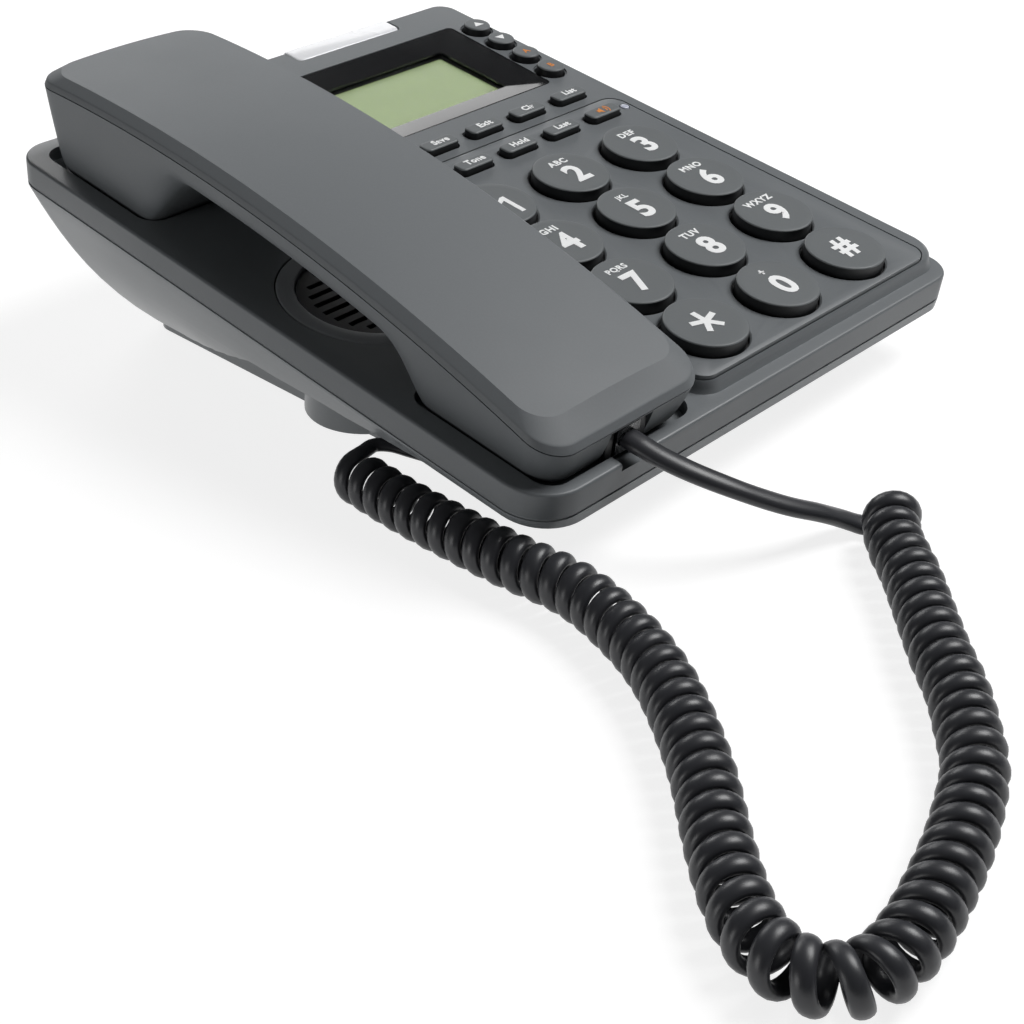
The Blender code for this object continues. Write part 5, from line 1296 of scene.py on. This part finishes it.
class PHONE_OT_lamps(bpy.types.Operator):
    """Ringing lamp and status lens"""
    bl_idname = "phone.lamps"
    bl_label = "Lamps"

    def execute(self, context):
        make_lamp()
        return {"FINISHED"}


class PHONE_OT_speaker(bpy.types.Operator):
    """Turned ring round the speaker in the tray"""
    bl_idname = "phone.speaker"
    bl_label = "Speaker ring"

    def execute(self, context):
        make_speaker()
        return {"FINISHED"}


class PHONE_OT_nodes(bpy.types.Operator):
    """Finishes on the solids that stay as they are"""
    bl_idname = "phone.nodes"
    bl_label = "Part's own solids"

    def execute(self, context):
        dress_nodes()
        return {"FINISHED"}


STEPS = (PHONE_OT_stage, PHONE_OT_materials, PHONE_OT_cord, PHONE_OT_handset,
         PHONE_OT_base, PHONE_OT_lower, PHONE_OT_keypad, PHONE_OT_keys,
         PHONE_OT_key_print, PHONE_OT_display, PHONE_OT_lamps, PHONE_OT_speaker,
         PHONE_OT_nodes)


class PHONE_PT_sidebar(bpy.types.Panel):
    """Lists the sizes, the colours and the steps"""
    bl_label = "Telephone"
    bl_idname = "PHONE_PT_sidebar"
    bl_space_type = "VIEW_3D"
    bl_region_type = "UI"
    bl_category = "Telephone"

    def draw(self, context):
        for group in (context.scene.phone_sizes, context.scene.phone_colours):
            column = self.layout.column()
            for key in group.__annotations__:
                column.prop(group, key)
        for step in STEPS:
            self.layout.operator(step.bl_idname)


CLASSES = (PhoneColours, PhoneSizes, *STEPS, PHONE_PT_sidebar)


def register():
    for item in CLASSES:
        bpy.utils.register_class(item)
    bpy.types.Scene.phone_colours = bpy.props.PointerProperty(type=PhoneColours)
    bpy.types.Scene.phone_sizes = bpy.props.PointerProperty(type=PhoneSizes)


def unregister():
    del bpy.types.Scene.phone_colours
    del bpy.types.Scene.phone_sizes
    for item in reversed(CLASSES):
        bpy.utils.unregister_class(item)


def main():
    register()
    for step in STEPS:
        group, name = step.bl_idname.split(".")
        if getattr(getattr(bpy.ops, group), name)() != {"FINISHED"}:
            raise RuntimeError("a step did not finish: " + name)


if __name__ == "__main__":
    main()
